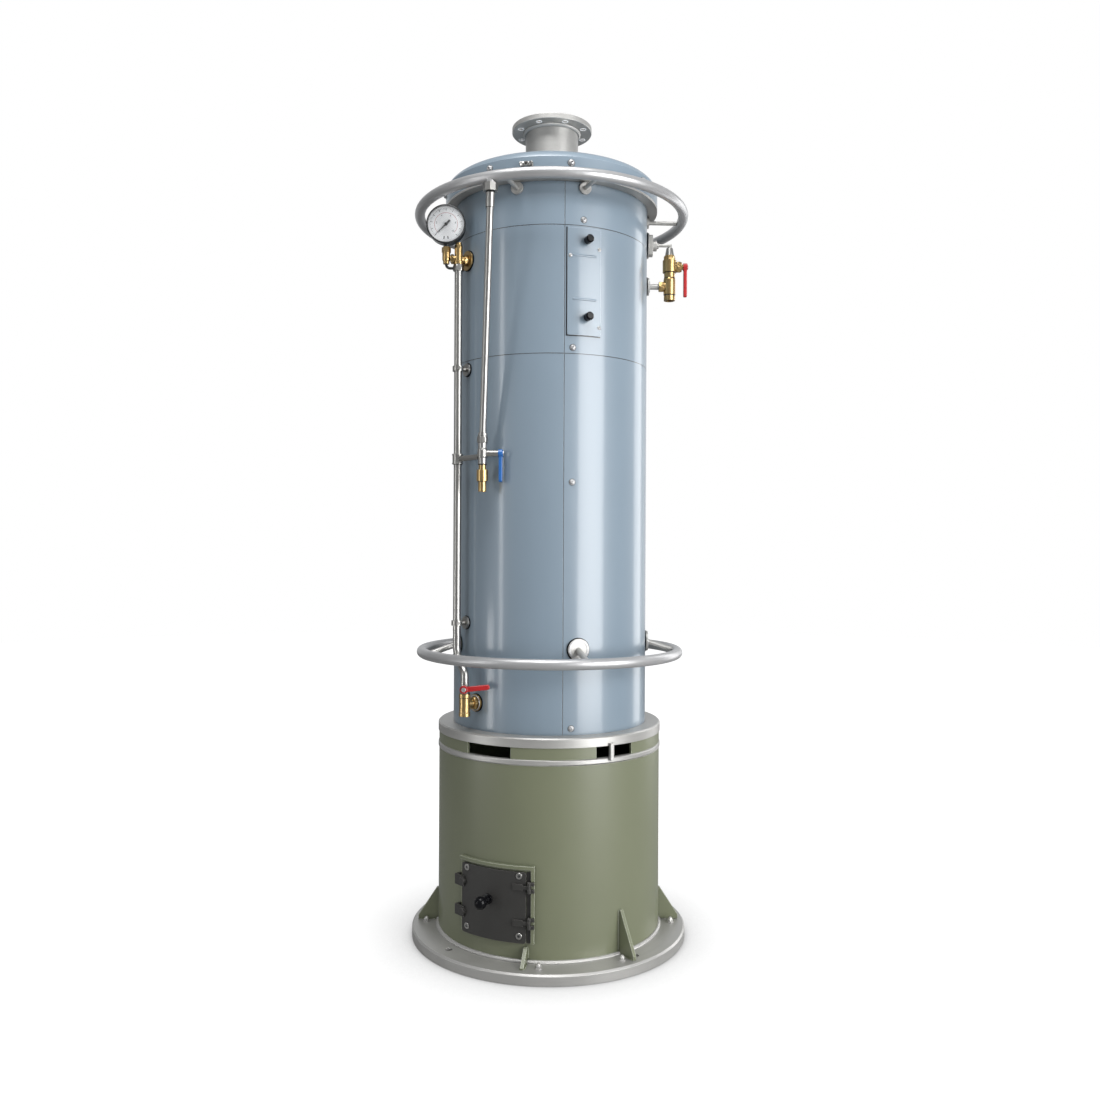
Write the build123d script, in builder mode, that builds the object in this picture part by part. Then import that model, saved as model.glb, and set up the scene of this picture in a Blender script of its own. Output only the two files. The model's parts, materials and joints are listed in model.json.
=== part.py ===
from build123d import *

from math import cos, degrees, radians, sin
import os

# Upright industrial boiler. Millimetres, +Z up, origin at the middle of the base
# plate's underside. Bearings are degrees from the front (-Y) towards the right (+X).

# Clearances
fit_gap = 0.3
seam_gap = 0.8
pin_gap = 0.08

# Radii that the rest follows
body_radius = 240.0
skirt_step = 35.0
skirt_radius = body_radius + skirt_step
base_step = 65.0
base_radius = skirt_radius + base_step

# Base plate, skirt and vent band
base_thickness = 25.0
base_chamfer = 4.0
anchor_inset = 35.0
anchor_circle_radius = base_radius - anchor_inset
anchor_hole_radius = 8.5
anchor_count = 8
anchor_first_angle = -49.0
skirt_wall = 6.0
skirt_height = 442.0
foot_weld = 6.0
ring_lip = 2.0
bead_height = 13.5
bead_width = 14.0
bead_round = 3.0
vent_height = 27.0
vent_slot_bearings = ((-43.5, -18.5), (23.0, 44.0), (136.5, 161.5), (203.0, 224.0))
top_ring_height = 22.0
top_ring_width = 72.0
top_ring_chamfer = 3.0
clip_bearing = 30.5
clip_width = 10.0
clip_depth = 8.0
clip_overlap = 6.0
clip_round = 2.0
gusset_thickness = 8.0
gusset_margin = 14.0
gusset_reach = base_step - gusset_margin
gusset_toe = 10.0
gusset_clip = 8.0
# Bearing and rise of each tall gusset
gusset_places = ((-89.0, 80.0), (37.0, 102.0), (91.0, 80.0), (143.0, 80.0), (212.0, 80.0))
small_gusset_bearing = -10.5
small_gusset_margin = 20.0
small_gusset_reach = base_step - small_gusset_margin
small_gusset_rise = 36.0
small_gusset_clip = 7.0

# Firebox door
door_left_bearing = -44.6
door_right_bearing = -10.2
door_bottom = 70.0
door_height = 160.0
door_plate = 5.0
door_edge_radius = 6.0
doorway_margin = 9.0
frame_plate = 4.0
frame_lip_width = 8.0
frame_lip_height = 9.0
frame_left_bearing = -46.5
frame_right_bearing = -6.3
door_top_gap = 5.0
hinge_rises = (46.5, 127.0)
hinge_pin_radius = 2.0
hinge_knuckle_radius = 4.5
hinge_bearing = -8.75
hinge_stand_out = 1.6
hinge_leaf_plate = 3.0
hinge_leaf_angle = 6.0
hinge_tongue_angle = 1.3
hinge_leaf_height = 14.0
hinge_ear_overlap = 1.0
knuckle_height = 8.0
catch_rises = (47.0, 117.0)
catch_height = 24.0
catch_plate = 4.0
catch_boss_radius = 8.0
catch_boss_stand = 3.0
catch_right_bearing = -42.8
catch_left_bearing = -49.0
keeper_angle = 1.6
door_knob_bearing = -28.9
door_knob_rise = 90.0
door_knob_radius = 14.5
door_knob_reach = 31.0
# Rosette, collar and neck of the door knob: distance out from the leaf, radius
door_knob_profile = ((0, 12.0), (3, 12.0), (4, 7.5), (8, 7.5), (9, 9.5), (12, 9.5), (13, 6.5), (22, 6.5))

# Body: inner drum, jacket sheets, flue
jacket_sheet = 2.5
drum_wall = 5.0
drum_plate = 8.0
lower_course = 874.0
middle_course = 294.0
top_course = 104.0
seam_bearing = 7.3
flue_radius = 66.0
flue_wall = 5.0
flue_top_rise = 212.0
flange_radius = 100.0
flange_thickness = 13.0
flange_circle_radius = 83.5
flange_hole_radius = 5.5
flange_hole_count = 8
flange_first_angle = 22.5
flange_weld = 6.0
flange_chamfer = 1.0

# Lid
lid_overhang = 25.0
lid_radius = body_radius + lid_overhang
lid_sheet = 4.0
lid_rim_height = 42.0
lid_shoulder_width = 22.0
lid_shoulder_rise = 20.0
lid_shoulder_radius = 45.0
lid_crown_rise = 24.0
lid_crown_share = 0.62
lid_collar_height = 10.0
lid_flange_thickness = 5.0

# Access panel
panel_left_bearing = 8.7
panel_right_bearing = 28.0
panel_drop = 6.0
panel_height = 246.0
panel_sheet = 3.0
panel_corner_radius = 3.0
panel_knob_bearing = 19.3
panel_knob_rises = (40.0, 216.0)
panel_knob_radius = 9.5
panel_knob_reach = 27.0
panel_knob_neck_radius = 5.5
panel_knob_neck_length = 5.0
panel_knob_round = 3.0

# Guard rings
ring_tube_radius = 12.5
upper_ring_stand_off = 89.0
upper_ring_radius = body_radius + upper_ring_stand_off
upper_ring_drop = 19.0
upper_bracket_bearings = (-19.0, 18.5, 93.0, 147.0, 213.0, 267.0)
upper_rod_radius = 5.0
upper_pad_radius = 14.0
lower_ring_stand_off = 79.5
lower_ring_radius = body_radius + lower_ring_stand_off
lower_ring_rise = 171.0
lower_bracket_bearings = (15.8, 90.0, 164.0, 228.0, 293.0)
lower_pad_radius = 25.0
lower_pad_rise = 25.0
lower_rod_radius = 7.0
pad_thickness = 6.0
pad_seat = 6.0

# Standpipe and gauge
standpipe_bearing = -55.5
standpipe_stand_off = 27.0
standpipe_distance = body_radius + standpipe_stand_off
standpipe_radius = 9.2
gauge_rise = 1112.0
standpipe_nut_radius = 11.2
standpipe_nut_height = 15.0
cross_radius = 9.5
cross_end_radius = 11.5
cross_down = 14.0
cross_up = 38.0
cross_cap_height = 14.0
cross_cap_step = 2.0
cross_rim_height = 8.0
cross_rim_step = 1.0
elbow_stub = 2.0
branch_radius = 8.5
cross_pad_radius = 23.0
cross_pad_thickness = 5.0
gauge_offset = 29.0
gauge_radius = 46.5
gauge_depth = 32.0
gauge_lift = 80.0
gauge_bezel = 3.5
gauge_recess = 7.0
gauge_forward = 15.0
bezel_round = 2.0
bezel_depth = 10.0
case_step = 1.5
case_back_round = 4.0
gauge_stem_reach = 6.0
gauge_stem_radius = 7.0
gauge_nut_flat = 19.0
gauge_nut_height = 12.0
dial_thickness = 1.5
needle_thickness = 1.2
needle_length = 33.5
needle_tail = 13.0
needle_half_width = 1.8
needle_tail_half_width = 2.6
needle_hub_radius = 3.5
needle_hub_height = 3.0
needle_lift = 1.0
needle_angle = 225.0
glass_thickness = 1.5
bleed_radius = 3.2
bleed_bend = 9.0
clamp_rises = (250.0, 852.0)
clamp_height = 12.0
clamp_band = 3.5
clamp_pad_radius = 15.0
clamp_stem_radius = 5.0
link_rise = 638.0
link_radius = 6.5
link_tee_radius = 12.2
link_tee_height = 24.0

# Downpipe and its valve
union_bearing = -24.4
union_radius = 16.5
union_height = 18.0
union_stub_radius = 11.0
union_stub_drop = 3.0
sleeve_radius = 9.8
sleeve_length = 34.0
foot_collar_radius = 10.8
foot_collar_length = 23.0
downpipe_radius = 7.8
valve_offset_x = 64.0
valve_offset_y = -76.0
valve_lift = 7.0
valve_body_radius = 10.0
valve_ball_radius = 11.5
valve_half_height = 24.0
valve_ball_half = 8.0
valve_cone = 4.0
valve_stem_length = 47.0
valve_neck_radius = 7.0
stem_radius = 4.0
stem_proud = 2.0
nozzle_nut_radius = 13.2
nozzle_nut_height = 26.0
nozzle_radius = 9.4
nozzle_neck_radius = 8.6
nozzle_length = 24.0
nozzle_bore = 6.5
nozzle_bore_depth = 30.0
valve_gap_height = 14.0

# Levers
lever_hub_radius = 9.5
lever_hub_length = 11.0
lever_hub_round = 1.5
lever_width = 12.0
lever_thickness = 9.0
lever_round = 2.5
lever_inset = 1.0
downpipe_lever_length = 66.0
side_lever_length = 76.0
drain_lever_length = 60.0
drain_lever_tilt = 6.0

# Drain valve
drain_bearing = -45.6
drain_stand_off = 36.0
drain_distance = body_radius + drain_stand_off
drain_rise = 64.0
drain_tee_radius = 12.5
drain_rim_radius = 13.5
drain_rim_height = 8.0
drain_rim_step = 1.0
drain_tee_up = 24.0
drain_tee_down = 28.0
drain_bore = 8.5
drain_bore_depth = 22.0
drain_body_radius = 9.4
drain_body_height = 26.0
drain_pad_radius = 20.0
drain_branch_radius = 10.0
drain_nut_radius = 13.0
drain_nut_length = 9.0
drain_neck_radius = 6.0
drain_stem_length = 29.0
standpipe_shift_rise = 175.0
standpipe_bend = 45.0
standpipe_foot = 22.0
standpipe_foot_bend = 20.0

# Side valve
side_bearing = 90.0
side_stand_off = 58.0
side_distance = body_radius + side_stand_off
side_valve_rise = 1138.0
side_tee_rise = 1088.0
side_bracket_rise = 1191.0
side_collar_radius = 12.6
side_collar_height = 12.0
side_cone_height = 19.0
side_cone_radius = 11.5
side_cone_top_radius = 8.0
side_pin_radius = 4.5
side_pin_height = 3.0
side_body_radius = 17.2
side_body_up = 16.0
side_neck_radius = 13.5
side_body_down = 14.0
side_branch_radius = 12.3
side_branch_length = 30.0
side_stem_length = 45.0
side_stem_radius = 6.5
side_tee_up = 22.0
side_tee_down = 23.0
side_outlet_length = 12.0
side_outlet_radius = 14.0
side_groove_height = 3.0
side_collar_step = 1.0
side_shoulder_height = 4.0
side_bore = 10.5
side_bore_depth = 25.0
side_nut_radius = 11.5
side_nut_length = 13.0
side_pipe_radius = 7.0
side_pad_radius = 21.5
side_bracket_pad_radius = 31.0
side_block_depth = 10.0
side_boss_radius = 13.0
side_boss_length = 10.0
side_block_width = 26.0
side_block_height = 52.0
side_block_round = 6.0
side_arm_radius = 4.0
side_arm_overhang = 5.0

# Heights worked out from the sizes above
skirt_top = base_thickness + skirt_height
bead_top = skirt_top + bead_height
vent_top = bead_top + vent_height
body_bottom = vent_top + top_ring_height
lower_seam = body_bottom + lower_course
upper_seam = lower_seam + middle_course
body_top = upper_seam + top_course
rim_top = body_top + lid_rim_height
flue_top = body_top + flue_top_rise
ring_outer = skirt_radius + ring_lip
top_ring_bore = ring_outer - top_ring_width
drum_radius = body_radius - jacket_sheet - fit_gap

os.makedirs("parts", exist_ok=True)


def bearing(angle, radius, height=0.0):
    """Point at a bearing from the front, at a radius from the boiler's axis and at a height."""
    turn = radians(angle)
    return Vector(radius * sin(turn), -radius * cos(turn), height)


def outward(angle):
    """Unit direction that points away from the boiler's axis at a bearing."""
    return bearing(angle, 1.0)


def radial_section(angle):
    """Upright plane through the axis: its x runs outward at the bearing and its y runs up."""
    return Plane(origin=(0, 0, 0), x_dir=outward(angle), z_dir=outward(angle - 90))


def sector(inner, outer, start, end):
    """Flat ring sector between two radii and two bearings."""
    with BuildSketch() as outline:
        with BuildLine():
            outer_arc = CenterArc((0, 0), outer, start - 90, end - start)
            inner_arc = CenterArc((0, 0), inner, start - 90, end - start)
            Line(outer_arc @ 0, inner_arc @ 0)
            Line(outer_arc @ 1, inner_arc @ 1)
        make_face()
    return outline.sketch


def curved_plate(inner, outer, start, end, bottom, top):
    """Plate bent round the boiler's axis, between two heights."""
    with BuildPart() as plate:
        with BuildSketch(Plane.XY.offset(bottom)):
            add(sector(inner, outer, start, end))
        extrude(amount=top - bottom)
    return plate.part


def turned(origin, direction, stations, bore=0.0):
    """Turned piece about a line: stations are (distance along the line, radius) pairs."""
    axis = Vector(direction).normalized()
    reference = Vector(0, 1, 0) if abs(axis.Z) > 0.9 else Vector(0, 0, 1)
    side = axis.cross(reference).normalized()
    first = stations[0][0]
    last = stations[-1][0]
    outline = [(bore, first)] + [(radius, along) for along, radius in stations] + [(bore, last)]
    with BuildPart() as piece:
        with BuildSketch(Plane(origin=origin, x_dir=side, z_dir=side.cross(axis))):
            with BuildLine():
                Polyline(*outline, close=True)
            make_face()
        revolve(axis=Axis(origin, axis))
    return piece.part


def rod(start, end, radius):
    """Round bar between two points."""
    length = (Vector(end) - Vector(start)).length
    return turned(start, Vector(end) - Vector(start), [(0, radius), (length, radius)])


def seat_on_jacket():
    """Cut away whatever reaches inside the jacket, so that a pad follows its curve."""
    Cylinder(
        body_radius + fit_gap,
        flue_top,
        align=(Align.CENTER, Align.CENTER, Align.MIN),
        mode=Mode.SUBTRACT,
    )


def jacket_pad(angle, height, radius, thickness):
    """Round pad on the jacket, long enough to be cut to the jacket's curve."""
    start = bearing(angle, body_radius - pad_seat, height)
    return turned(start, outward(angle), [(0, radius), (pad_seat + thickness, radius)])


# Base plate with its anchor holes
with BuildPart() as base_flange:
    with BuildSketch():
        Circle(base_radius)
        with PolarLocations(anchor_circle_radius, anchor_count, start_angle=anchor_first_angle - 90):
            Circle(anchor_hole_radius, mode=Mode.SUBTRACT)
    extrude(amount=base_thickness)
    circles = base_flange.edges().filter_by(GeomType.CIRCLE)
    rim = circles.filter_by(lambda edge: edge.radius > anchor_circle_radius)
    chamfer(rim.sort_by(Axis.Z)[-1], base_chamfer)
base_flange.part.label = "base_flange"
export_step(base_flange.part, "parts/base_flange.step")

# Skirt: a rolled shell welded to the plate, with the doorway cut through it
doorway_start = door_left_bearing + degrees(doorway_margin / skirt_radius)
doorway_end = door_right_bearing - degrees(doorway_margin / skirt_radius)
doorway_bottom = door_bottom + doorway_margin
doorway_top = door_bottom + door_height - doorway_margin
with BuildPart() as base_skirt:
    with BuildSketch(Plane.XZ):
        with BuildLine():
            Polyline(
                (skirt_radius - skirt_wall, base_thickness),
                (skirt_radius + foot_weld, base_thickness),
                (skirt_radius, base_thickness + foot_weld),
                (skirt_radius, skirt_top),
                (skirt_radius - skirt_wall, skirt_top),
                close=True,
            )
        make_face()
    revolve(axis=Axis.Z)
    with BuildSketch(Plane.XY.offset(doorway_bottom)):
        add(sector(skirt_radius - 2 * skirt_wall, skirt_radius + skirt_wall, doorway_start, doorway_end))
    extrude(amount=doorway_top - doorway_bottom, mode=Mode.SUBTRACT)
base_skirt.part.label = "base_skirt"
export_step(base_skirt.part, "parts/base_skirt.step")

# Gussets between skirt and plate, clipped at the inner corner to clear the foot weld
with BuildPart() as gussets:
    for angle, rise in gusset_places:
        with BuildSketch(radial_section(angle)):
            with BuildLine():
                Polyline(
                    (skirt_radius + gusset_clip, base_thickness),
                    (skirt_radius + gusset_reach, base_thickness),
                    (skirt_radius + gusset_reach, base_thickness + gusset_toe),
                    (skirt_radius + gusset_toe / 2, base_thickness + rise),
                    (skirt_radius, base_thickness + rise),
                    (skirt_radius, base_thickness + gusset_clip),
                    close=True,
                )
            make_face()
        extrude(amount=gusset_thickness / 2, both=True)
    with BuildSketch(radial_section(small_gusset_bearing)):
        with BuildLine():
            Polyline(
                (skirt_radius + small_gusset_clip, base_thickness),
                (skirt_radius + small_gusset_reach, base_thickness),
                (skirt_radius + small_gusset_reach, base_thickness + gusset_toe / 2),
                (skirt_radius + gusset_toe / 2, base_thickness + small_gusset_rise),
                (skirt_radius, base_thickness + small_gusset_rise),
                (skirt_radius, base_thickness + small_gusset_clip),
                close=True,
            )
        make_face()
    extrude(amount=gusset_thickness / 2, both=True)
gussets.part.label = "gussets"
export_step(gussets.part, "parts/gussets.step")

# Rounded bead ring on top of the skirt
with BuildPart() as vent_bead:
    with BuildSketch(Plane.XZ):
        with Locations((ring_outer - bead_width / 2, skirt_top + bead_height / 2)):
            RectangleRounded(bead_width, bead_height, bead_round)
    revolve(axis=Axis.Z)
vent_bead.part.label = "vent_bead"
export_step(vent_bead.part, "parts/vent_bead.step")

# Vent band: the wall between the air slots
with BuildPart() as vent_band:
    with BuildSketch(Plane.XY.offset(bead_top)):
        for here, after in zip(vent_slot_bearings, vent_slot_bearings[1:] + vent_slot_bearings[:1]):
            wall_end = after[0] if after[0] > here[1] else after[0] + 360
            add(sector(skirt_radius - skirt_wall, skirt_radius, here[1], wall_end))
    extrude(amount=vent_height)
vent_band.part.label = "vent_band"
export_step(vent_band.part, "parts/vent_band.step")

# Heavy ring that carries the body
with BuildPart() as base_top_ring:
    with BuildSketch(Plane.XY.offset(vent_top)):
        Circle(ring_outer)
        Circle(top_ring_bore, mode=Mode.SUBTRACT)
    extrude(amount=top_ring_height)
    circles = base_top_ring.edges().filter_by(GeomType.CIRCLE)
    rim = circles.filter_by(lambda edge: edge.radius > top_ring_bore + top_ring_chamfer)
    chamfer(rim.sort_by(Axis.Z)[-1], top_ring_chamfer)
base_top_ring.part.label = "base_top_ring"
export_step(base_top_ring.part, "parts/base_top_ring.step")

# Upright clip across the vent slot
with BuildPart() as ring_clip:
    with BuildSketch(radial_section(clip_bearing)):
        with Locations((ring_outer + fit_gap + clip_depth / 2, (bead_top + vent_top) / 2)):
            Rectangle(clip_depth, vent_height + 2 * clip_overlap)
    extrude(amount=clip_width / 2, both=True)
    fillet(ring_clip.edges().filter_by(Axis.Z).sort_by(lambda edge: edge.center().length)[-2:], clip_round)
ring_clip.part.label = "ring_clip"
export_step(ring_clip.part, "parts/ring_clip.step")

# Door frame: a seat plate round the doorway, with a raised lip along its top and right side
frame_inner = skirt_radius + fit_gap
frame_outer = frame_inner + frame_plate
lip_outer = frame_inner + frame_lip_height
lip_bottom = door_bottom + door_height + door_top_gap
frame_top = lip_bottom + frame_lip_width
lip_start = frame_right_bearing - degrees(frame_lip_width / skirt_radius)
with BuildPart() as door_frame:
    seat_end = frame_right_bearing
    add(curved_plate(frame_inner, frame_outer, frame_left_bearing, seat_end, door_bottom, frame_top))
    with BuildSketch(Plane.XY.offset(doorway_bottom)):
        add(sector(skirt_radius - skirt_wall, lip_outer, doorway_start, doorway_end))
    extrude(amount=doorway_top - doorway_bottom, mode=Mode.SUBTRACT)
    add(curved_plate(frame_inner, lip_outer, frame_left_bearing, frame_right_bearing, lip_bottom, frame_top))
    add(curved_plate(frame_inner, lip_outer, lip_start, frame_right_bearing, door_bottom, frame_top))
door_frame.part.label = "door_frame"
export_step(door_frame.part, "parts/door_frame.step")

# Door leaf, bent to the skirt's curve, with rounded corners
leaf_inner = frame_outer + 2 * fit_gap
leaf_outer = leaf_inner + door_plate
with BuildPart() as firebox_door:
    door_top = door_bottom + door_height
    add(curved_plate(leaf_inner, leaf_outer, door_left_bearing, door_right_bearing, door_bottom, door_top))
    corners = firebox_door.edges().filter_by(lambda edge: abs(edge.length - door_plate) < 0.01)
    fillet(corners, door_edge_radius)
firebox_door.part.label = "firebox_door"
export_step(firebox_door.part, "parts/firebox_door.step")

# Door knob: rosette, collar and ball
knob_height = door_bottom + door_knob_rise
with BuildPart() as door_knob:
    knob_root = bearing(door_knob_bearing, leaf_outer + fit_gap, knob_height)
    add(turned(knob_root, outward(door_knob_bearing), door_knob_profile))
    with Locations(bearing(door_knob_bearing, leaf_outer + door_knob_reach, knob_height)):
        Sphere(door_knob_radius)
door_knob.part.label = "door_knob"
export_step(door_knob.part, "parts/door_knob.step")

# Hinges: the door's straps and knuckles turn on pins held by the frame's knuckles
hinge_distance = lip_outer + hinge_stand_out + hinge_knuckle_radius / 2
hinge_axis = bearing(hinge_bearing, hinge_distance)
strap_start = door_right_bearing - hinge_leaf_angle
with BuildPart() as hinge_straps:
    for rise in hinge_rises:
        middle = door_bottom + rise
        strap_bottom = middle - hinge_leaf_height / 2
        strap_top = middle + hinge_leaf_height / 2
        strap_inner = leaf_outer + fit_gap
        strap_outer = strap_inner + hinge_leaf_plate
        strap_end = door_right_bearing - hinge_tongue_angle
        add(curved_plate(strap_inner, strap_outer, strap_start, strap_end, strap_bottom, strap_top))
        knuckle_bottom = middle - knuckle_height / 2
        with BuildSketch(Plane.XY.offset(knuckle_bottom)):
            with Locations((hinge_axis.X, hinge_axis.Y)):
                Circle(hinge_knuckle_radius)
            add(sector(strap_inner, strap_outer, strap_end - hinge_tongue_angle, hinge_bearing))
            with Locations((hinge_axis.X, hinge_axis.Y)):
                Circle(hinge_pin_radius + pin_gap, mode=Mode.SUBTRACT)
        extrude(amount=knuckle_height)
hinge_straps.part.label = "hinge_straps"
export_step(hinge_straps.part, "parts/hinge_straps.step")

with BuildPart() as hinge_brackets:
    for rise in hinge_rises:
        middle = door_bottom + rise
        pin_bottom = middle - knuckle_height / 2 - knuckle_height
        pin_top = middle + knuckle_height / 2 + knuckle_height
        for ear_bottom in (pin_bottom, middle + knuckle_height / 2 + fit_gap):
            with BuildSketch(Plane.XY.offset(ear_bottom)):
                with Locations((hinge_axis.X, hinge_axis.Y)):
                    Circle(hinge_knuckle_radius)
                ear_outer = hinge_distance + hinge_ear_overlap
                add(sector(lip_outer, ear_outer, hinge_bearing, frame_right_bearing))
            extrude(amount=knuckle_height - fit_gap)
        with BuildSketch(Plane.XY.offset(pin_bottom)):
            with Locations((hinge_axis.X, hinge_axis.Y)):
                Circle(hinge_pin_radius)
        extrude(amount=pin_top - pin_bottom)
hinge_brackets.part.label = "hinge_brackets"
export_step(hinge_brackets.part, "parts/hinge_brackets.step")

# Catches on the door's free edge, and the keepers that they close over
with BuildPart() as door_catches:
    for rise in catch_rises:
        middle = door_bottom + rise
        inner = leaf_outer + fit_gap
        catch_bottom = middle - catch_height / 2
        catch_top = middle + catch_height / 2
        outer = inner + catch_plate
        add(curved_plate(inner, outer, catch_left_bearing, catch_right_bearing, catch_bottom, catch_top))
        boss_bearing = (catch_right_bearing + door_left_bearing) / 2
        boss_root = bearing(boss_bearing, inner, middle)
        boss_profile = [(0, catch_boss_radius), (catch_plate + catch_boss_stand, catch_boss_radius)]
        add(turned(boss_root, outward(boss_bearing), boss_profile))
door_catches.part.label = "door_catches"
export_step(door_catches.part, "parts/door_catches.step")

with BuildPart() as catch_keepers:
    for rise in catch_rises:
        middle = door_bottom + rise
        keeper_outer = leaf_outer - fit_gap
        keeper_bottom = middle - catch_height / 2
        keeper_top = middle + catch_height / 2
        keeper_end = catch_left_bearing + keeper_angle
        keeper_start = catch_left_bearing
        add(curved_plate(frame_inner, keeper_outer, keeper_start, keeper_end, keeper_bottom, keeper_top))
catch_keepers.part.label = "catch_keepers"
export_step(catch_keepers.part, "parts/catch_keepers.step")

# Drum: the pressure shell with its two end plates, holed for the flue
with BuildPart() as drum:
    with BuildSketch(Plane.XZ):
        with BuildLine():
            Polyline(
                (flue_radius + fit_gap, body_bottom),
                (drum_radius, body_bottom),
                (drum_radius, body_top),
                (flue_radius + fit_gap, body_top),
                (flue_radius + fit_gap, body_top - drum_plate),
                (drum_radius - drum_wall, body_top - drum_plate),
                (drum_radius - drum_wall, body_bottom + drum_plate),
                (flue_radius + fit_gap, body_bottom + drum_plate),
                close=True,
            )
        make_face()
    revolve(axis=Axis.Z)
drum.part.label = "drum"
export_step(drum.part, "parts/drum.step")

# Jacket: three courses of sheet, each in two halves that meet at the upright seams
seam_angle = degrees(seam_gap / body_radius)
courses = (
    ("lower", body_bottom, lower_seam - seam_gap),
    ("middle", lower_seam, upper_seam - seam_gap),
    ("top", upper_seam, body_top),
)
for course, bottom, top in courses:
    for side, first in (("right", seam_bearing), ("left", seam_bearing + 180)):
        with BuildPart() as jacket:
            with BuildSketch(Plane.XY.offset(bottom)):
                add(sector(body_radius - jacket_sheet, body_radius, first, first + 180 - seam_angle))
            extrude(amount=top - bottom)
        jacket.part.label = f"{course}_jacket_{side}"
        export_step(jacket.part, f"parts/{course}_jacket_{side}.step")

# Flue pipe, from the firebox crown up through drum and lid
with BuildPart() as flue_pipe:
    with BuildSketch(Plane.XY.offset(body_bottom)):
        Circle(flue_radius)
        Circle(flue_radius - flue_wall, mode=Mode.SUBTRACT)
    extrude(amount=flue_top - body_bottom)
flue_pipe.part.label = "flue_pipe"
export_step(flue_pipe.part, "parts/flue_pipe.step")

# Flue flange with its bolt holes and the weld under it
with BuildPart() as flue_flange:
    with BuildSketch(Plane.XY.offset(flue_top - flange_thickness)):
        Circle(flange_radius)
        Circle(flue_radius + fit_gap, mode=Mode.SUBTRACT)
        with PolarLocations(flange_circle_radius, flange_hole_count, start_angle=flange_first_angle):
            Circle(flange_hole_radius, mode=Mode.SUBTRACT)
    extrude(amount=flange_thickness)
    circles = flue_flange.edges().filter_by(GeomType.CIRCLE)
    chamfer(circles.filter_by(lambda edge: edge.radius > flange_circle_radius), flange_chamfer)
    with BuildSketch(Plane.XZ):
        with BuildLine():
            weld_top = flue_top - flange_thickness
            Polyline(
                (flue_radius + fit_gap, weld_top - flange_weld),
                (flue_radius + flange_weld, weld_top),
                (flue_radius + fit_gap, weld_top),
                close=True,
            )
        make_face()
    revolve(axis=Axis.Z)
flue_flange.part.label = "flue_flange"
export_step(flue_flange.part, "parts/flue_flange.step")

# Lid: a spun cap with a creased shoulder, a shallow crown and a collar round the flue
crown_edge = lid_radius - lid_shoulder_width
crown_bottom = rim_top + lid_shoulder_rise
crown_top = crown_bottom + lid_crown_rise
collar_inner = flue_radius + fit_gap
crown_middle = (crown_edge + collar_inner) / 2
crown_bulge = crown_bottom + lid_crown_rise * lid_crown_share
collar_outer = collar_inner + lid_sheet
with BuildPart() as lid:
    with BuildSketch(Plane.XZ):
        with BuildLine():
            Line((lid_radius - lid_sheet, body_top), (lid_radius, body_top))
            Line((lid_radius, body_top), (lid_radius, rim_top))
            RadiusArc((lid_radius, rim_top), (crown_edge, crown_bottom), -lid_shoulder_radius)
            ThreePointArc((crown_edge, crown_bottom), (crown_middle, crown_bulge), (collar_outer, crown_top))
            Polyline(
                (collar_outer, crown_top),
                (collar_outer, crown_top + lid_collar_height),
                (collar_inner, crown_top + lid_collar_height),
                (collar_inner, crown_top - lid_sheet),
            )
            ThreePointArc(
                (collar_inner, crown_top - lid_sheet),
                (crown_middle, crown_bulge - lid_sheet),
                (crown_edge, crown_bottom - lid_sheet),
            )
            RadiusArc(
                (crown_edge, crown_bottom - lid_sheet),
                (lid_radius - lid_sheet, rim_top),
                lid_shoulder_radius - lid_sheet,
            )
            Line((lid_radius - lid_sheet, rim_top), (lid_radius - lid_sheet, body_top))
        make_face()
    revolve(axis=Axis.Z)
lid.part.label = "lid"
export_step(lid.part, "parts/lid.step")

# Bare flange ring under the lid's rim
with BuildPart() as lid_flange:
    with BuildSketch(Plane.XY.offset(body_top - lid_flange_thickness)):
        Circle(lid_radius)
        Circle(body_radius + fit_gap, mode=Mode.SUBTRACT)
    extrude(amount=lid_flange_thickness)
lid_flange.part.label = "lid_flange"
export_step(lid_flange.part, "parts/lid_flange.step")

# Access panel: a bent cover plate with two knobs
panel_top = upper_seam - panel_drop
panel_bottom = panel_top - panel_height
panel_inner = body_radius + fit_gap
panel_outer = panel_inner + panel_sheet
with BuildPart() as access_panel:
    panel_end = panel_right_bearing
    add(curved_plate(panel_inner, panel_outer, panel_left_bearing, panel_end, panel_bottom, panel_top))
    panel_corners = access_panel.edges().filter_by(lambda edge: abs(edge.length - panel_sheet) < 0.01)
    fillet(panel_corners, panel_corner_radius)
access_panel.part.label = "access_panel"
export_step(access_panel.part, "parts/access_panel.step")

with BuildPart() as panel_knobs:
    for rise in panel_knob_rises:
        root = bearing(panel_knob_bearing, panel_outer + fit_gap, panel_bottom + rise)
        knob_profile = [
            (0, panel_knob_neck_radius),
            (panel_knob_neck_length, panel_knob_neck_radius),
            (panel_knob_neck_length + panel_knob_round, panel_knob_radius),
            (panel_knob_reach - panel_knob_round, panel_knob_radius),
            (panel_knob_reach, panel_knob_radius - panel_knob_round),
        ]
        add(turned(root, outward(panel_knob_bearing), knob_profile))
panel_knobs.part.label = "panel_knobs"
export_step(panel_knobs.part, "parts/panel_knobs.step")

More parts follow.
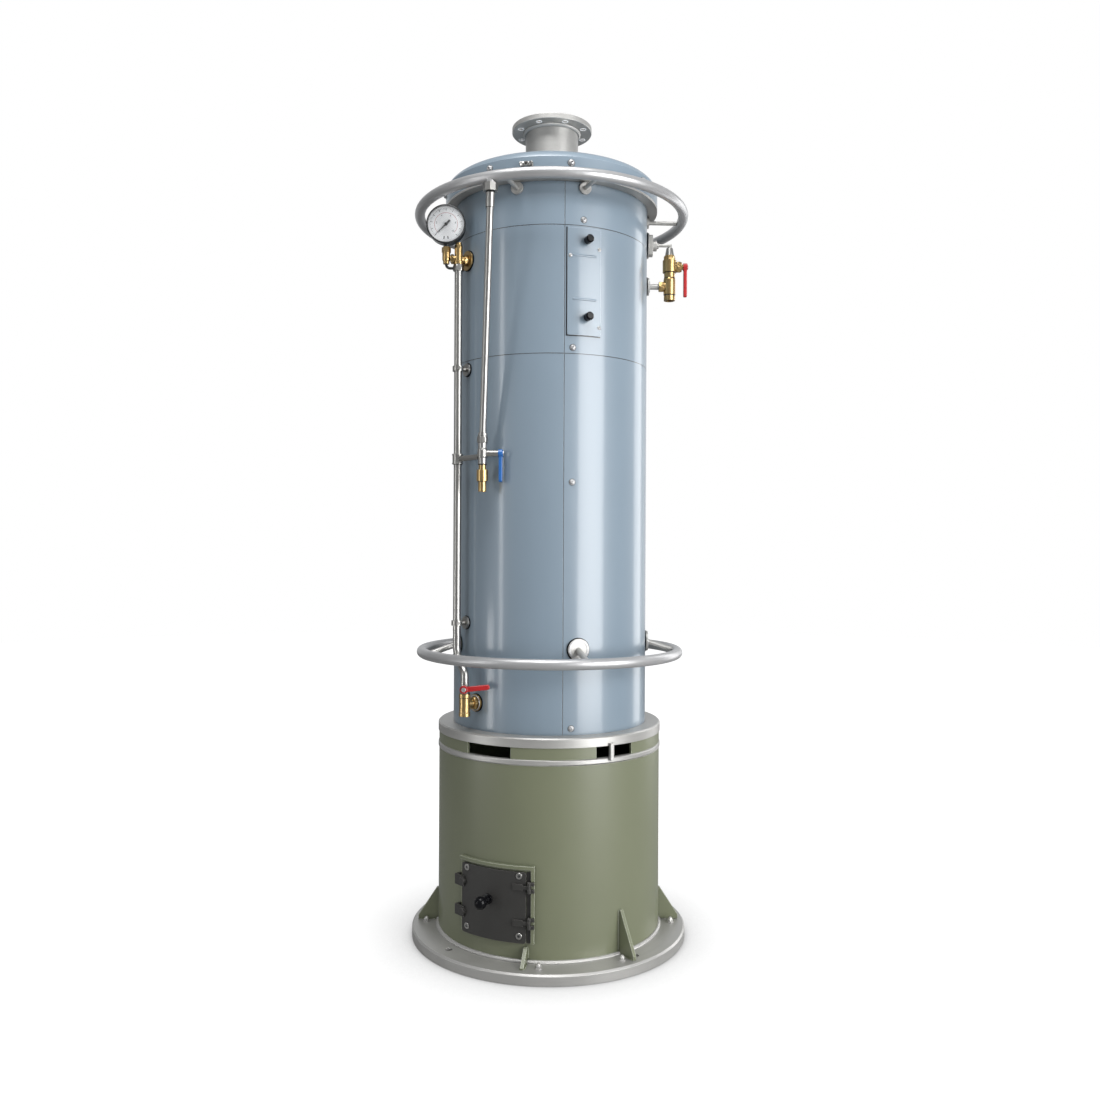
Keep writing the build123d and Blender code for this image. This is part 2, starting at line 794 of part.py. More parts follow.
# Upper guard ring, with the stub that feeds the downpipe
upper_ring_height = body_top - upper_ring_drop
union_point = bearing(union_bearing, upper_ring_radius)
stub_bottom = upper_ring_height - ring_tube_radius - union_stub_drop
with BuildPart() as upper_ring:
    with BuildSketch(Plane.XZ):
        with Locations((upper_ring_radius, upper_ring_height)):
            Circle(ring_tube_radius)
    revolve(axis=Axis.Z)
    stub_start = (union_point.X, union_point.Y, upper_ring_height)
    add(rod(stub_start, (union_point.X, union_point.Y, stub_bottom), union_stub_radius))
upper_ring.part.label = "upper_ring"
export_step(upper_ring.part, "parts/upper_ring.step")

with BuildPart() as upper_ring_brackets:
    for angle in upper_bracket_bearings:
        add(jacket_pad(angle, upper_ring_height, upper_pad_radius, pad_thickness))
        rod_end = upper_ring_radius - ring_tube_radius - fit_gap
        rod_start = bearing(angle, body_radius, upper_ring_height)
        add(rod(rod_start, bearing(angle, rod_end, upper_ring_height), upper_rod_radius))
    seat_on_jacket()
upper_ring_brackets.part.label = "upper_ring_brackets"
export_step(upper_ring_brackets.part, "parts/upper_ring_brackets.step")

# Lower guard ring on cranked brackets
lower_ring_height = body_bottom + lower_ring_rise
lower_pad_height = lower_ring_height + lower_pad_rise
with BuildPart() as lower_ring:
    with BuildSketch(Plane.XZ):
        with Locations((lower_ring_radius, lower_ring_height)):
            Circle(ring_tube_radius)
    revolve(axis=Axis.Z)
lower_ring.part.label = "lower_ring"
export_step(lower_ring.part, "parts/lower_ring.step")

with BuildPart() as lower_ring_brackets:
    for angle in lower_bracket_bearings:
        add(jacket_pad(angle, lower_pad_height, lower_pad_radius, pad_thickness))
        pad_point = bearing(angle, body_radius, lower_pad_height)
        ring_point = bearing(angle, lower_ring_radius, lower_ring_height)
        run = ring_point - pad_point
        tip = pad_point + run * (1 - (ring_tube_radius + fit_gap) / run.length)
        add(rod(pad_point, tip, lower_rod_radius))
    seat_on_jacket()
lower_ring_brackets.part.label = "lower_ring_brackets"
export_step(lower_ring_brackets.part, "parts/lower_ring_brackets.step")

# Brass cross at the gauge tapping
gauge_height = body_bottom + gauge_rise
cross_point = bearing(standpipe_bearing, standpipe_distance, gauge_height)
elbow_point = cross_point - Vector(gauge_offset, 0, 0)
with BuildPart() as gauge_cross:
    add(jacket_pad(standpipe_bearing, gauge_height, cross_pad_radius, cross_pad_thickness))
    add(rod(bearing(standpipe_bearing, body_radius, gauge_height), cross_point, branch_radius))
    cross_profile = [
        (-cross_down, cross_end_radius),
        (-cross_down + cross_rim_height, cross_end_radius),
        (-cross_down + cross_rim_height + cross_rim_step, cross_radius),
        (cross_up - cross_cap_height, cross_radius),
        (cross_up - cross_cap_height, cross_radius - cross_cap_step),
        (cross_up, cross_radius - cross_cap_step),
    ]
    add(turned(cross_point, (0, 0, 1), cross_profile))
    arm_length = gauge_offset - cross_radius - fit_gap
    add(turned(cross_point, (-1, 0, 0), [(0, branch_radius), (arm_length, branch_radius)]))
    seat_on_jacket()
gauge_cross.part.label = "gauge_cross"
export_step(gauge_cross.part, "parts/gauge_cross.step")

# Brass elbow and hexagon nut that hold the gauge
gauge_centre_height = gauge_height + gauge_lift
stem_bottom = gauge_centre_height - gauge_radius - gauge_stem_reach
nut_bottom = stem_bottom - gauge_nut_height
with BuildPart() as gauge_elbow:
    with Locations(elbow_point):
        Sphere(cross_radius)
    add(rod(elbow_point, (elbow_point.X, elbow_point.Y, nut_bottom), cross_radius))
    with BuildSketch(Plane.XY.offset(nut_bottom)):
        with Locations((elbow_point.X, elbow_point.Y)):
            RegularPolygon(gauge_nut_flat / 2, 6, major_radius=False)
    extrude(amount=gauge_nut_height)
    stub_radius = cross_radius - elbow_stub
    add(turned(elbow_point, (0, 0, -1), [(0, stub_radius), (cross_radius + elbow_stub, stub_radius)]))
gauge_elbow.part.label = "gauge_elbow"
export_step(gauge_elbow.part, "parts/gauge_elbow.step")

# Pressure gauge: case with bezel and stem, dial, needle and glass
gauge_centre = Vector(elbow_point.X, elbow_point.Y, gauge_centre_height)
front = gauge_centre - Vector(0, gauge_forward, 0)
with BuildPart() as gauge_case:
    case_profile = [
        (0, gauge_radius - bezel_round),
        (bezel_round, gauge_radius),
        (bezel_depth, gauge_radius),
        (bezel_depth + case_step, gauge_radius - case_step),
        (gauge_depth - case_back_round, gauge_radius - case_step),
        (gauge_depth, gauge_radius - case_step - case_back_round),
    ]
    add(turned(front, (0, 1, 0), case_profile))
    stem_top = gauge_centre_height - gauge_radius + gauge_stem_reach
    stem_start = (elbow_point.X, elbow_point.Y, stem_bottom)
    add(rod(stem_start, (elbow_point.X, elbow_point.Y, stem_top), gauge_stem_radius))
    with BuildSketch(Plane(origin=front, x_dir=(1, 0, 0), z_dir=(0, -1, 0))):
        Circle(gauge_radius - gauge_bezel)
    extrude(amount=-gauge_recess, mode=Mode.SUBTRACT)
gauge_case.part.label = "gauge_case"
export_step(gauge_case.part, "parts/gauge_case.step")

dial_radius = gauge_radius - gauge_bezel - fit_gap
dial_front = front + Vector(0, gauge_recess - dial_thickness, 0)
dial_face = Plane(origin=dial_front, x_dir=(1, 0, 0), z_dir=(0, -1, 0))
with BuildPart() as gauge_dial:
    with BuildSketch(dial_face):
        Circle(dial_radius)
    extrude(amount=-dial_thickness)
gauge_dial.part.label = "gauge_dial"
export_step(gauge_dial.part, "parts/gauge_dial.step")

with BuildPart() as gauge_needle:
    with BuildSketch(dial_face):
        Circle(needle_hub_radius)
    extrude(amount=needle_hub_height)
    with BuildSketch(dial_face.offset(needle_lift)):
        with BuildLine(Plane.XY.rotated((0, 0, needle_angle))):
            Polyline(
                (needle_length, 0),
                (0, needle_half_width),
                (-needle_tail, needle_tail_half_width),
                (-needle_tail, -needle_tail_half_width),
                (0, -needle_half_width),
                close=True,
            )
        make_face()
    extrude(amount=needle_thickness)
gauge_needle.part.label = "gauge_needle"
export_step(gauge_needle.part, "parts/gauge_needle.step")

with BuildPart() as gauge_glass:
    with BuildSketch(Plane(origin=front + Vector(0, glass_thickness, 0), x_dir=(1, 0, 0), z_dir=(0, -1, 0))):
        Circle(dial_radius)
    extrude(amount=glass_thickness)
gauge_glass.part.label = "gauge_glass"
export_step(gauge_glass.part, "parts/gauge_glass.step")

# Standpipe with its top nut; it jogs sideways above the drain valve
drain_height = body_bottom + drain_rise
drain_point = bearing(drain_bearing, drain_distance, drain_height)
drain_body_top = drain_height + drain_tee_up + drain_body_height
pipe_top = gauge_height - cross_down
nut_base = pipe_top - standpipe_nut_height
jog_top = body_bottom + standpipe_shift_rise
with BuildPart() as standpipe:
    with BuildLine():
        FilletPolyline(
            (cross_point.X, cross_point.Y, pipe_top),
            (cross_point.X, cross_point.Y, jog_top),
            (drain_point.X, drain_point.Y, drain_body_top + standpipe_foot),
            (drain_point.X, drain_point.Y, drain_body_top),
            radius=[standpipe_bend, standpipe_foot_bend],
        )
    with BuildSketch(Plane(origin=(cross_point.X, cross_point.Y, pipe_top), z_dir=(0, 0, -1))):
        Circle(standpipe_radius)
    sweep()
    nut_start = (cross_point.X, cross_point.Y, nut_base)
    add(rod(nut_start, (cross_point.X, cross_point.Y, pipe_top), standpipe_nut_radius))
standpipe.part.label = "standpipe"
export_step(standpipe.part, "parts/standpipe.step")

# Thin bleed tube from under the elbow to the standpipe's nut
bleed_top = gauge_height - cross_radius - elbow_stub
bleed_low = pipe_top - standpipe_nut_height / 2
with BuildPart() as bleed_tube:
    with BuildLine():
        FilletPolyline(
            (elbow_point.X, elbow_point.Y, bleed_top),
            (elbow_point.X, elbow_point.Y, bleed_low),
            (cross_point.X - standpipe_nut_radius - fit_gap, cross_point.Y, bleed_low),
            radius=bleed_bend,
        )
    with BuildSketch(Plane(origin=(elbow_point.X, elbow_point.Y, bleed_top), z_dir=(0, 0, -1))):
        Circle(bleed_radius)
    sweep()
bleed_tube.part.label = "bleed_tube"
export_step(bleed_tube.part, "parts/bleed_tube.step")

# Clamps that hold the standpipe off the jacket
with BuildPart() as pipe_clamps:
    for rise in clamp_rises:
        height = body_bottom + rise
        pipe_centre = (cross_point.X, cross_point.Y, height)
        add(jacket_pad(standpipe_bearing, height, clamp_pad_radius, pad_thickness))
        add(rod(bearing(standpipe_bearing, body_radius, height), pipe_centre, clamp_stem_radius))
        band_outer = standpipe_radius + fit_gap + clamp_band
        band_base = (cross_point.X, cross_point.Y, height - clamp_height / 2)
        add(turned(band_base, (0, 0, 1), [(0, band_outer), (clamp_height, band_outer)]))
    with Locations((cross_point.X, cross_point.Y, 0)):
        Cylinder(
            standpipe_radius + fit_gap,
            flue_top,
            align=(Align.CENTER, Align.CENTER, Align.MIN),
            mode=Mode.SUBTRACT,
        )
    seat_on_jacket()
pipe_clamps.part.label = "pipe_clamps"
export_step(pipe_clamps.part, "parts/pipe_clamps.step")

# Valve at the downpipe's foot, and the link from it to the standpipe
link_height = body_bottom + link_rise
valve_point = cross_point + Vector(valve_offset_x, valve_offset_y, link_height + valve_lift - gauge_height)
link_run = Vector(valve_offset_x, valve_offset_y, 0)
with BuildPart() as link_pipe:
    tee_base = (cross_point.X, cross_point.Y, link_height - link_tee_height / 2)
    add(turned(tee_base, (0, 0, 1), [(0, link_tee_radius), (link_tee_height, link_tee_radius)]))
    tee_centre = Vector(cross_point.X, cross_point.Y, link_height)
    link_length = link_run.length - valve_ball_radius - fit_gap
    add(turned(tee_centre, link_run, [(0, link_radius), (link_length, link_radius)]))
    with Locations((cross_point.X, cross_point.Y, 0)):
        Cylinder(
            standpipe_radius + fit_gap,
            flue_top,
            align=(Align.CENTER, Align.CENTER, Align.MIN),
            mode=Mode.SUBTRACT,
        )
link_pipe.part.label = "link_pipe"
export_step(link_pipe.part, "parts/link_pipe.step")

with BuildPart() as downpipe_valve:
    valve_base = valve_point - Vector(0, 0, valve_half_height)
    valve_profile = [
        (0, valve_body_radius),
        (valve_half_height - valve_ball_half - valve_cone, valve_body_radius),
        (valve_half_height - valve_ball_half, valve_ball_radius),
        (valve_half_height + valve_ball_half, valve_ball_radius),
        (valve_half_height + valve_ball_half + valve_cone, valve_body_radius),
        (2 * valve_half_height, valve_body_radius),
    ]
    add(turned(valve_base, (0, 0, 1), valve_profile))
    shoulder = valve_stem_length - lever_hub_length
    stem_profile = [
        (0, valve_neck_radius),
        (shoulder, valve_neck_radius),
        (shoulder, stem_radius),
        (valve_stem_length + stem_proud, stem_radius),
    ]
    add(turned(valve_point, (1, 0, 0), stem_profile))
downpipe_valve.part.label = "downpipe_valve"
export_step(downpipe_valve.part, "parts/downpipe_valve.step")

# Downpipe from the upper ring's union down to the valve
union_top = stub_bottom
union_bottom = union_top - union_height
valve_top = valve_point + Vector(0, 0, valve_half_height)
pipe_start = Vector(union_point.X, union_point.Y, union_bottom)
pipe_run = valve_top - pipe_start
with BuildPart() as downpipe_union:
    with BuildSketch(Plane.XY.offset(union_bottom)):
        with Locations((union_point.X, union_point.Y)):
            RegularPolygon(union_radius, 8)
    extrude(amount=union_height)
downpipe_union.part.label = "downpipe_union"
export_step(downpipe_union.part, "parts/downpipe_union.step")

with BuildPart() as downpipe:
    downpipe_profile = [
        (0, sleeve_radius),
        (sleeve_length, sleeve_radius),
        (sleeve_length, downpipe_radius),
        (pipe_run.length - foot_collar_length, downpipe_radius),
        (pipe_run.length - foot_collar_length, foot_collar_radius),
        (pipe_run.length, foot_collar_radius),
    ]
    add(turned(pipe_start, pipe_run, downpipe_profile))
    trim_size = 4 * sleeve_radius
    top_trim = (union_point.X, union_point.Y, union_bottom)
    foot_trim = (valve_top.X, valve_top.Y, valve_top.Z - trim_size)
    with Locations(top_trim, foot_trim):
        Box(
            trim_size,
            trim_size,
            trim_size,
            align=(Align.CENTER, Align.CENTER, Align.MIN),
            mode=Mode.SUBTRACT,
        )
downpipe.part.label = "downpipe"
export_step(downpipe.part, "parts/downpipe.step")

# Brass nozzle under the valve
with BuildPart() as downpipe_nozzle:
    nozzle_top = valve_point - Vector(0, 0, valve_half_height)
    nozzle_profile = [
        (0, nozzle_neck_radius),
        (valve_gap_height, nozzle_neck_radius),
        (valve_gap_height, nozzle_nut_radius),
        (valve_gap_height + nozzle_nut_height, nozzle_nut_radius),
        (valve_gap_height + nozzle_nut_height, nozzle_radius),
        (valve_gap_height + nozzle_nut_height + nozzle_length, nozzle_radius),
    ]
    add(turned(nozzle_top, (0, 0, -1), nozzle_profile))
    nozzle_mouth = nozzle_top - Vector(0, 0, valve_gap_height + nozzle_nut_height + nozzle_length)
    with BuildSketch(Plane(origin=nozzle_mouth, z_dir=(0, 0, 1))):
        Circle(nozzle_bore)
    extrude(amount=nozzle_bore_depth, mode=Mode.SUBTRACT)
downpipe_nozzle.part.label = "downpipe_nozzle"
export_step(downpipe_nozzle.part, "parts/downpipe_nozzle.step")


def lever(hub, axis, along, length):
    """Valve lever: a bored hub on the stem and a flat grip with rounded edges that runs out from it."""
    grip_foot = Vector(hub) + Vector(axis) * lever_inset
    with BuildPart() as handle:
        with BuildSketch(Plane(origin=grip_foot, x_dir=along, z_dir=axis)):
            with Locations((length / 2 - lever_width / 4, 0)):
                SlotOverall(length + lever_width / 2, lever_width)
        extrude(amount=lever_thickness)
        sides = handle.faces().sort_by(Axis(hub, axis))
        fillet(sides[0].edges() + sides[-1].edges(), lever_round)
        hub_profile = [
            (fit_gap, lever_hub_radius),
            (lever_hub_length - lever_hub_round, lever_hub_radius),
            (lever_hub_length, lever_hub_radius - lever_hub_round),
        ]
        add(turned(hub, axis, hub_profile))
        stem_hole = [(0, stem_radius + pin_gap), (2 * lever_hub_length, stem_radius + pin_gap)]
        add(turned(hub, axis, stem_hole), mode=Mode.SUBTRACT)
    return handle.part


# Blue lever: hangs beside the downpipe valve
with BuildPart() as downpipe_lever:
    add(lever(valve_point + Vector(shoulder, 0, 0), (1, 0, 0), (0, 0, -1), downpipe_lever_length))
downpipe_lever.part.label = "downpipe_lever"
export_step(downpipe_lever.part, "parts/downpipe_lever.step")

# Brass tee of the drain, seated on the jacket, with its open outlet
with BuildPart() as drain_tee:
    tee_bottom = drain_point - Vector(0, 0, drain_tee_down)
    drain_tee_length = drain_tee_down + drain_tee_up
    drain_profile = [
        (0, drain_rim_radius),
        (drain_rim_height, drain_rim_radius),
        (drain_rim_height + drain_rim_step, drain_tee_radius),
        (drain_tee_length - drain_rim_height - drain_rim_step, drain_tee_radius),
        (drain_tee_length - drain_rim_height, drain_rim_radius),
        (drain_tee_length, drain_rim_radius),
    ]
    add(turned(tee_bottom, (0, 0, 1), drain_profile))
    add(jacket_pad(drain_bearing, drain_height, drain_pad_radius, cross_pad_thickness))
    add(rod(bearing(drain_bearing, body_radius, drain_height), drain_point, drain_branch_radius))
    nut_root = bearing(drain_bearing, body_radius, drain_height)
    nut_reach = cross_pad_thickness + drain_nut_length
    add(turned(nut_root, outward(drain_bearing), [(0, drain_nut_radius), (nut_reach, drain_nut_radius)]))
    seat_on_jacket()
    with BuildSketch(Plane(origin=tee_bottom, z_dir=(0, 0, 1))):
        Circle(drain_bore)
    extrude(amount=drain_bore_depth, mode=Mode.SUBTRACT)
drain_tee.part.label = "drain_tee"
export_step(drain_tee.part, "parts/drain_tee.step")

# Steel valve between drain tee and standpipe
drain_valve_middle = drain_point + Vector(0, 0, drain_tee_up + drain_body_height / 2)
drain_shoulder = drain_stem_length - lever_hub_length
with BuildPart() as drain_valve:
    body_start = drain_point + Vector(0, 0, drain_tee_up)
    add(rod(body_start, body_start + Vector(0, 0, drain_body_height), drain_body_radius))
    drain_stem = [
        (0, drain_neck_radius),
        (drain_shoulder, drain_neck_radius),
        (drain_shoulder, stem_radius),
        (drain_stem_length + stem_proud, stem_radius),
    ]
    add(turned(drain_valve_middle, (0, -1, 0), drain_stem))
drain_valve.part.label = "drain_valve"
export_step(drain_valve.part, "parts/drain_valve.step")

# Red lever of the drain valve, across its pipe and tilted up a little
with BuildPart() as drain_lever:
    drain_along = Vector(cos(radians(drain_lever_tilt)), 0, sin(radians(drain_lever_tilt)))
    drain_hub = drain_valve_middle - Vector(0, drain_shoulder, 0)
    add(lever(drain_hub, (0, -1, 0), drain_along, drain_lever_length))
drain_lever.part.label = "drain_lever"
export_step(drain_lever.part, "parts/drain_lever.step")

# Side bracket: pad, block with its boss, and the arm above the cone
side_out = outward(side_bearing)
side_bracket_height = body_bottom + side_bracket_rise
side_valve_point = bearing(side_bearing, side_distance, body_bottom + side_valve_rise)
side_tee_point = bearing(side_bearing, side_distance, body_bottom + side_tee_rise)
cone_base = side_valve_point + Vector(0, 0, side_body_up + side_collar_height)
cone_top = cone_base + Vector(0, 0, side_cone_height + side_pin_height)
with BuildPart() as side_bracket:
    add(jacket_pad(side_bearing, side_bracket_height, side_bracket_pad_radius, cross_pad_thickness))
    block_start = body_radius + cross_pad_thickness
    block_root = bearing(side_bearing, block_start, side_bracket_height)
    with BuildSketch(Plane(origin=block_root, x_dir=(0, 1, 0), z_dir=side_out)):
        RectangleRounded(side_block_width, side_block_height, side_block_round)
    extrude(amount=side_block_depth)
    boss_reach = side_block_depth + side_boss_length
    add(turned(block_root, side_out, [(0, side_boss_radius), (boss_reach, side_boss_radius)]))
    arm_height = cone_top.Z + side_arm_radius
    arm_start = bearing(side_bearing, block_start, arm_height)
    arm_end = bearing(side_bearing, side_distance + side_arm_overhang, arm_height)
    add(rod(arm_start, arm_end, side_arm_radius))
    seat_on_jacket()
side_bracket.part.label = "side_bracket"
export_step(side_bracket.part, "parts/side_bracket.step")

# Steel cone on top of the side valve, pinned to the arm
with BuildPart() as side_cone:
    cone_profile = [
        (0, side_cone_radius),
        (side_cone_height, side_cone_top_radius),
        (side_cone_height, side_pin_radius),
        (side_cone_height + side_pin_height, side_pin_radius),
    ]
    add(turned(cone_base, (0, 0, 1), cone_profile))
side_cone.part.label = "side_cone"
export_step(side_cone.part, "parts/side_cone.step")

# Side valve: brass body with its top collar and the branch for its stem
with BuildPart() as side_valve:
    neck_bottom = side_tee_point.Z + side_tee_up - side_valve_point.Z
    side_profile = [
        (neck_bottom, side_neck_radius),
        (-side_body_down, side_neck_radius),
        (-side_body_down, side_body_radius),
        (side_body_up, side_body_radius),
        (side_body_up, side_collar_radius),
        (side_body_up + side_collar_height, side_collar_radius),
    ]
    add(turned(side_valve_point, (0, 0, 1), side_profile))
    side_shoulder = side_stem_length - lever_hub_length
    branch_profile = [
        (0, side_branch_radius),
        (side_branch_length, side_branch_radius),
        (side_branch_length, side_stem_radius),
        (side_shoulder, side_stem_radius),
        (side_shoulder, stem_radius),
        (side_stem_length + stem_proud, stem_radius),
    ]
    add(turned(side_valve_point, side_out, branch_profile))
side_valve.part.label = "side_valve"
export_step(side_valve.part, "parts/side_valve.step")

# Brass tee below it, with its open outlet
with BuildPart() as side_tee:
    outlet_bottom = side_tee_down + side_outlet_length
    tee_profile = [
        (-outlet_bottom, side_outlet_radius),
        (-side_tee_down, side_outlet_radius),
        (-side_tee_down, side_neck_radius),
        (side_groove_height - side_tee_down, side_neck_radius),
        (side_groove_height - side_tee_down, side_outlet_radius + side_collar_step),
        (side_tee_up - side_shoulder_height, side_outlet_radius + side_collar_step),
        (side_tee_up, side_neck_radius),
    ]
    add(turned(side_tee_point, (0, 0, 1), tee_profile))
    nut_end = side_outlet_radius + side_nut_length
    add(turned(side_tee_point, -side_out, [(0, side_nut_radius), (nut_end, side_nut_radius)]))
    with BuildSketch(Plane(origin=side_tee_point - Vector(0, 0, outlet_bottom), z_dir=(0, 0, 1))):
        Circle(side_bore)
    extrude(amount=side_bore_depth, mode=Mode.SUBTRACT)
side_tee.part.label = "side_tee"
export_step(side_tee.part, "parts/side_tee.step")

# Steel pipe from the jacket to the tee's nut
with BuildPart() as side_pipe:
    add(jacket_pad(side_bearing, side_tee_point.Z, side_pad_radius, pad_thickness))
    pipe_end = side_distance - nut_end
    pipe_root = bearing(side_bearing, body_radius, side_tee_point.Z)
    add(rod(pipe_root, bearing(side_bearing, pipe_end, side_tee_point.Z), side_pipe_radius))
    seat_on_jacket()
side_pipe.part.label = "side_pipe"
export_step(side_pipe.part, "parts/side_pipe.step")

# Red lever of the side valve, hanging from its stem
with BuildPart() as side_lever:
    add(lever(side_valve_point + side_out * side_shoulder, side_out, (0, 0, -1), side_lever_length))
side_lever.part.label = "side_lever"
export_step(side_lever.part, "parts/side_lever.step")
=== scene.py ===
import json
from math import cos, pi, radians, sin

import bmesh
import bpy
import numpy as np
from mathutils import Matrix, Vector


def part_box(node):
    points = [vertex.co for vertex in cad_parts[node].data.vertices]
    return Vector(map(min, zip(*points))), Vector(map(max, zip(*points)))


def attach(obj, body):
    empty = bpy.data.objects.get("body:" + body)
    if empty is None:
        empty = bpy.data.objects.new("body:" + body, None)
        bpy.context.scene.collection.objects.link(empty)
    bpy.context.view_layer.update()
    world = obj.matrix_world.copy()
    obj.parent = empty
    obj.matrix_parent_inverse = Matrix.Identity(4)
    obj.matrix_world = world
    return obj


# Finish of an upright boiler: paint, steel and brass, welds, screws, a gauge face, light and camera.
# Metres, +Z up, the boiler's axis on Z. Bearings are degrees from the front (-Y) towards the right (+X),
# and a rise is millimetres above the jacket's foot.

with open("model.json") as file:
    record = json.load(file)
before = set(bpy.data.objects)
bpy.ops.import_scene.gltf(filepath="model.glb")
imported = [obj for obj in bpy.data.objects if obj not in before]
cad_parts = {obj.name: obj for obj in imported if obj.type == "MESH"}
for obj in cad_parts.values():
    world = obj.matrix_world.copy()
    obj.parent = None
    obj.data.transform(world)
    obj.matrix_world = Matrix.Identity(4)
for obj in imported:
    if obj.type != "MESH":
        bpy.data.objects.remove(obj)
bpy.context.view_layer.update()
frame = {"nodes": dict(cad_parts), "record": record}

MM = 0.001
upward, leftward, rightward = np.array([[0.0, 0.0, 1.0], [-1.0, 0.0, 0.0], [1.0, 0.0, 0.0]])
weld_pitch = 3.2 * MM

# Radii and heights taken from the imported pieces
base_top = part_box("base_flange")[1].z
skirt_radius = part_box("vent_band")[1].x
body_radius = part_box("lower_jacket_right")[1].x
body_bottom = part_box("lower_jacket_right")[0].z
body_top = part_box("top_jacket_right")[1].z
lid_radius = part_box("lid")[1].x
flue_radius, _, flue_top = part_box("flue_pipe")[1]
gauge_low, gauge_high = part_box("gauge_case")
gauge_radius = 46.5 * MM

# Bearings, distances from the axis and heights of the pieces that the trim sits on
anchor_circle = 305 * MM
seam_bearings = (7.3, 187.3)
seam_rises = (872.9, 1167.0)
lower_bracket_bearings = (15.8, 90.0, 164.0, 228.0, 293.0)
lower_pad_height = body_bottom + 196 * MM
standpipe_bearing, standpipe_reach = -55.5, 267 * MM
clamp_rises = (250, 852)
drain_bearing, drain_reach = -45.6, 276 * MM
side_bearing, side_reach = 90, 298 * MM
side_tee_height, side_valve_height, side_bracket_height = body_bottom + MM * np.array([1088, 1138, 1191])
tall_gusset_bearing, small_gusset_bearing = 37.0, -10.5
gusset_bearings = (-89.0, 91.0, 143.0, 212.0)


# Surfaces: every piece is a grid of points, worked out as whole arrays


def around(count):
    """Angles of a full turn in equal steps."""
    return np.linspace(0, 2 * pi, count, endpoint=False)


def grid_faces(rows, columns, wrap_rows=False):
    """Four-sided faces between a grid's neighbours; its columns, and rows if told, join round."""
    row = np.arange(rows if wrap_rows else rows - 1)[:, None]
    column = np.arange(columns)[None, :]
    next_row = (row + 1) % rows
    next_column = (column + 1) % columns
    corners = (
        row * columns + column,
        row * columns + next_column,
        next_row * columns + next_column,
        next_row * columns + column,
    )
    return np.stack(np.broadcast_arrays(*corners), axis=-1).reshape(-1, 4)


def turned(profile, sides, flats=0):
    """Surface of revolution: point (i, j) is radius i times (cos, sin) of angle j, at height i.
    With flats, no point lies outside a prism of that many sides within the widest radius."""
    radius, height = np.array(profile, float).T
    angle = around(sides)
    reach = np.repeat(radius[:, None], sides, axis=1)
    if flats:
        half = pi / flats
        prism = radius.max() * cos(half) / np.cos(angle % (2 * half) - half)
        reach = np.minimum(reach, prism)
    level = np.repeat(height[:, None], sides, axis=1)
    grid = np.stack([reach * np.cos(angle), reach * np.sin(angle), level], axis=-1)
    return grid.reshape(-1, 3), grid_faces(len(profile), sides)


def carried(path, across, up, outline, closed):
    """An outline carried along a path: point (i, j) = path i + s * across i + t * up i, where (s, t)
    is outline point j, or outline point (i, j) where the outline changes along the path."""
    outline = np.asarray(outline, float)
    if outline.ndim == 2:
        outline = np.broadcast_to(outline, (len(path), *outline.shape))
    grid = path[:, None] + outline[..., :1] * across[:, None] + outline[..., 1:] * up[:, None]
    return grid.reshape(-1, 3), grid_faces(len(path), outline.shape[1], wrap_rows=closed)


def weld(path, across, up, width, height, pitch, closed=False):
    """A weld bead: an ellipse carried along a path, swelling once each pitch. The swell slants across
    the bead, 1.4 radians ahead on one side and behind on the other, and open ends close to a point."""
    steps = np.linalg.norm(np.diff(path, axis=0), axis=1)
    along = np.concatenate([[0], np.cumsum(steps)])
    angle = around(12)
    phase = 2 * pi * along[:, None] / pitch + 1.4 * np.cos(angle)[None, :]
    swell = 1 + 0.16 * np.sin(phase)
    if not closed:
        end = np.minimum(along, along[-1] - along) / (0.5 * width)
        swell = swell * np.sqrt(np.clip(end, 0, 1))[:, None]
    outline = np.stack([width / 2 * np.cos(angle) * swell, height * np.sin(angle) * swell], axis=-1)
    return carried(path, across, up, outline, closed)


def wall_arc(bearings, radius, height):
    """Path of an arc round the axis at bearings in radians, and its outward and upward directions."""
    out = np.stack([np.sin(bearings), -np.cos(bearings), np.zeros(len(bearings))], axis=-1)
    return out * radius + [0, 0, height], out, np.tile(upward, (len(bearings), 1))


def ring_weld(radius, height, lean, width, depth):
    """A weld round the axis, whose face leans up from level by the given angle."""
    girth = 2 * pi * radius
    count = max(96, int(girth / weld_pitch) * 5)
    angle = around(count)
    out = np.stack([np.cos(angle), np.sin(angle), np.zeros(count)], axis=-1)
    path = out * radius + upward * height
    across = out * sin(lean) - upward * cos(lean)
    up = out * cos(lean) + upward * sin(lean)
    return weld(path, across, up, width, depth, girth / round(girth / weld_pitch), closed=True)


def line_weld(start, end, across, up, width, depth):
    """A straight weld between two points."""
    count = int(np.linalg.norm(end - start) / weld_pitch * 5) + 2
    share = np.linspace(0, 1, count)[:, None]
    path = start * (1 - share) + end * share
    return weld(path, np.tile(across, (count, 1)), np.tile(up, (count, 1)), width, depth, weld_pitch)


def spot(origin, direction, turn=0.0):
    """A place for a piece: its origin and three unit axes, the third along a direction."""
    axis = np.asarray(direction, float)
    axis = axis / np.linalg.norm(axis)
    helper = (0, 0, 1) if abs(axis[2]) < 0.9 else (0, 1, 0)
    side = np.cross(helper, axis)
    side = side / np.linalg.norm(side)
    other = np.cross(axis, side)
    turned_side = side * cos(turn) + other * sin(turn)
    turned_other = other * cos(turn) - side * sin(turn)
    return np.array([origin, turned_side, turned_other, axis])


def bearing(angle, radius, height=0.0):
    """Point at a bearing from the front, at a radius from the axis and a height."""
    return np.array([radius * sin(radians(angle)), -radius * cos(radians(angle)), height])


def on_wall(angle, radius, height):
    """A place on a round wall, facing outward."""
    return spot(bearing(angle, radius, height), bearing(angle, 1.0))


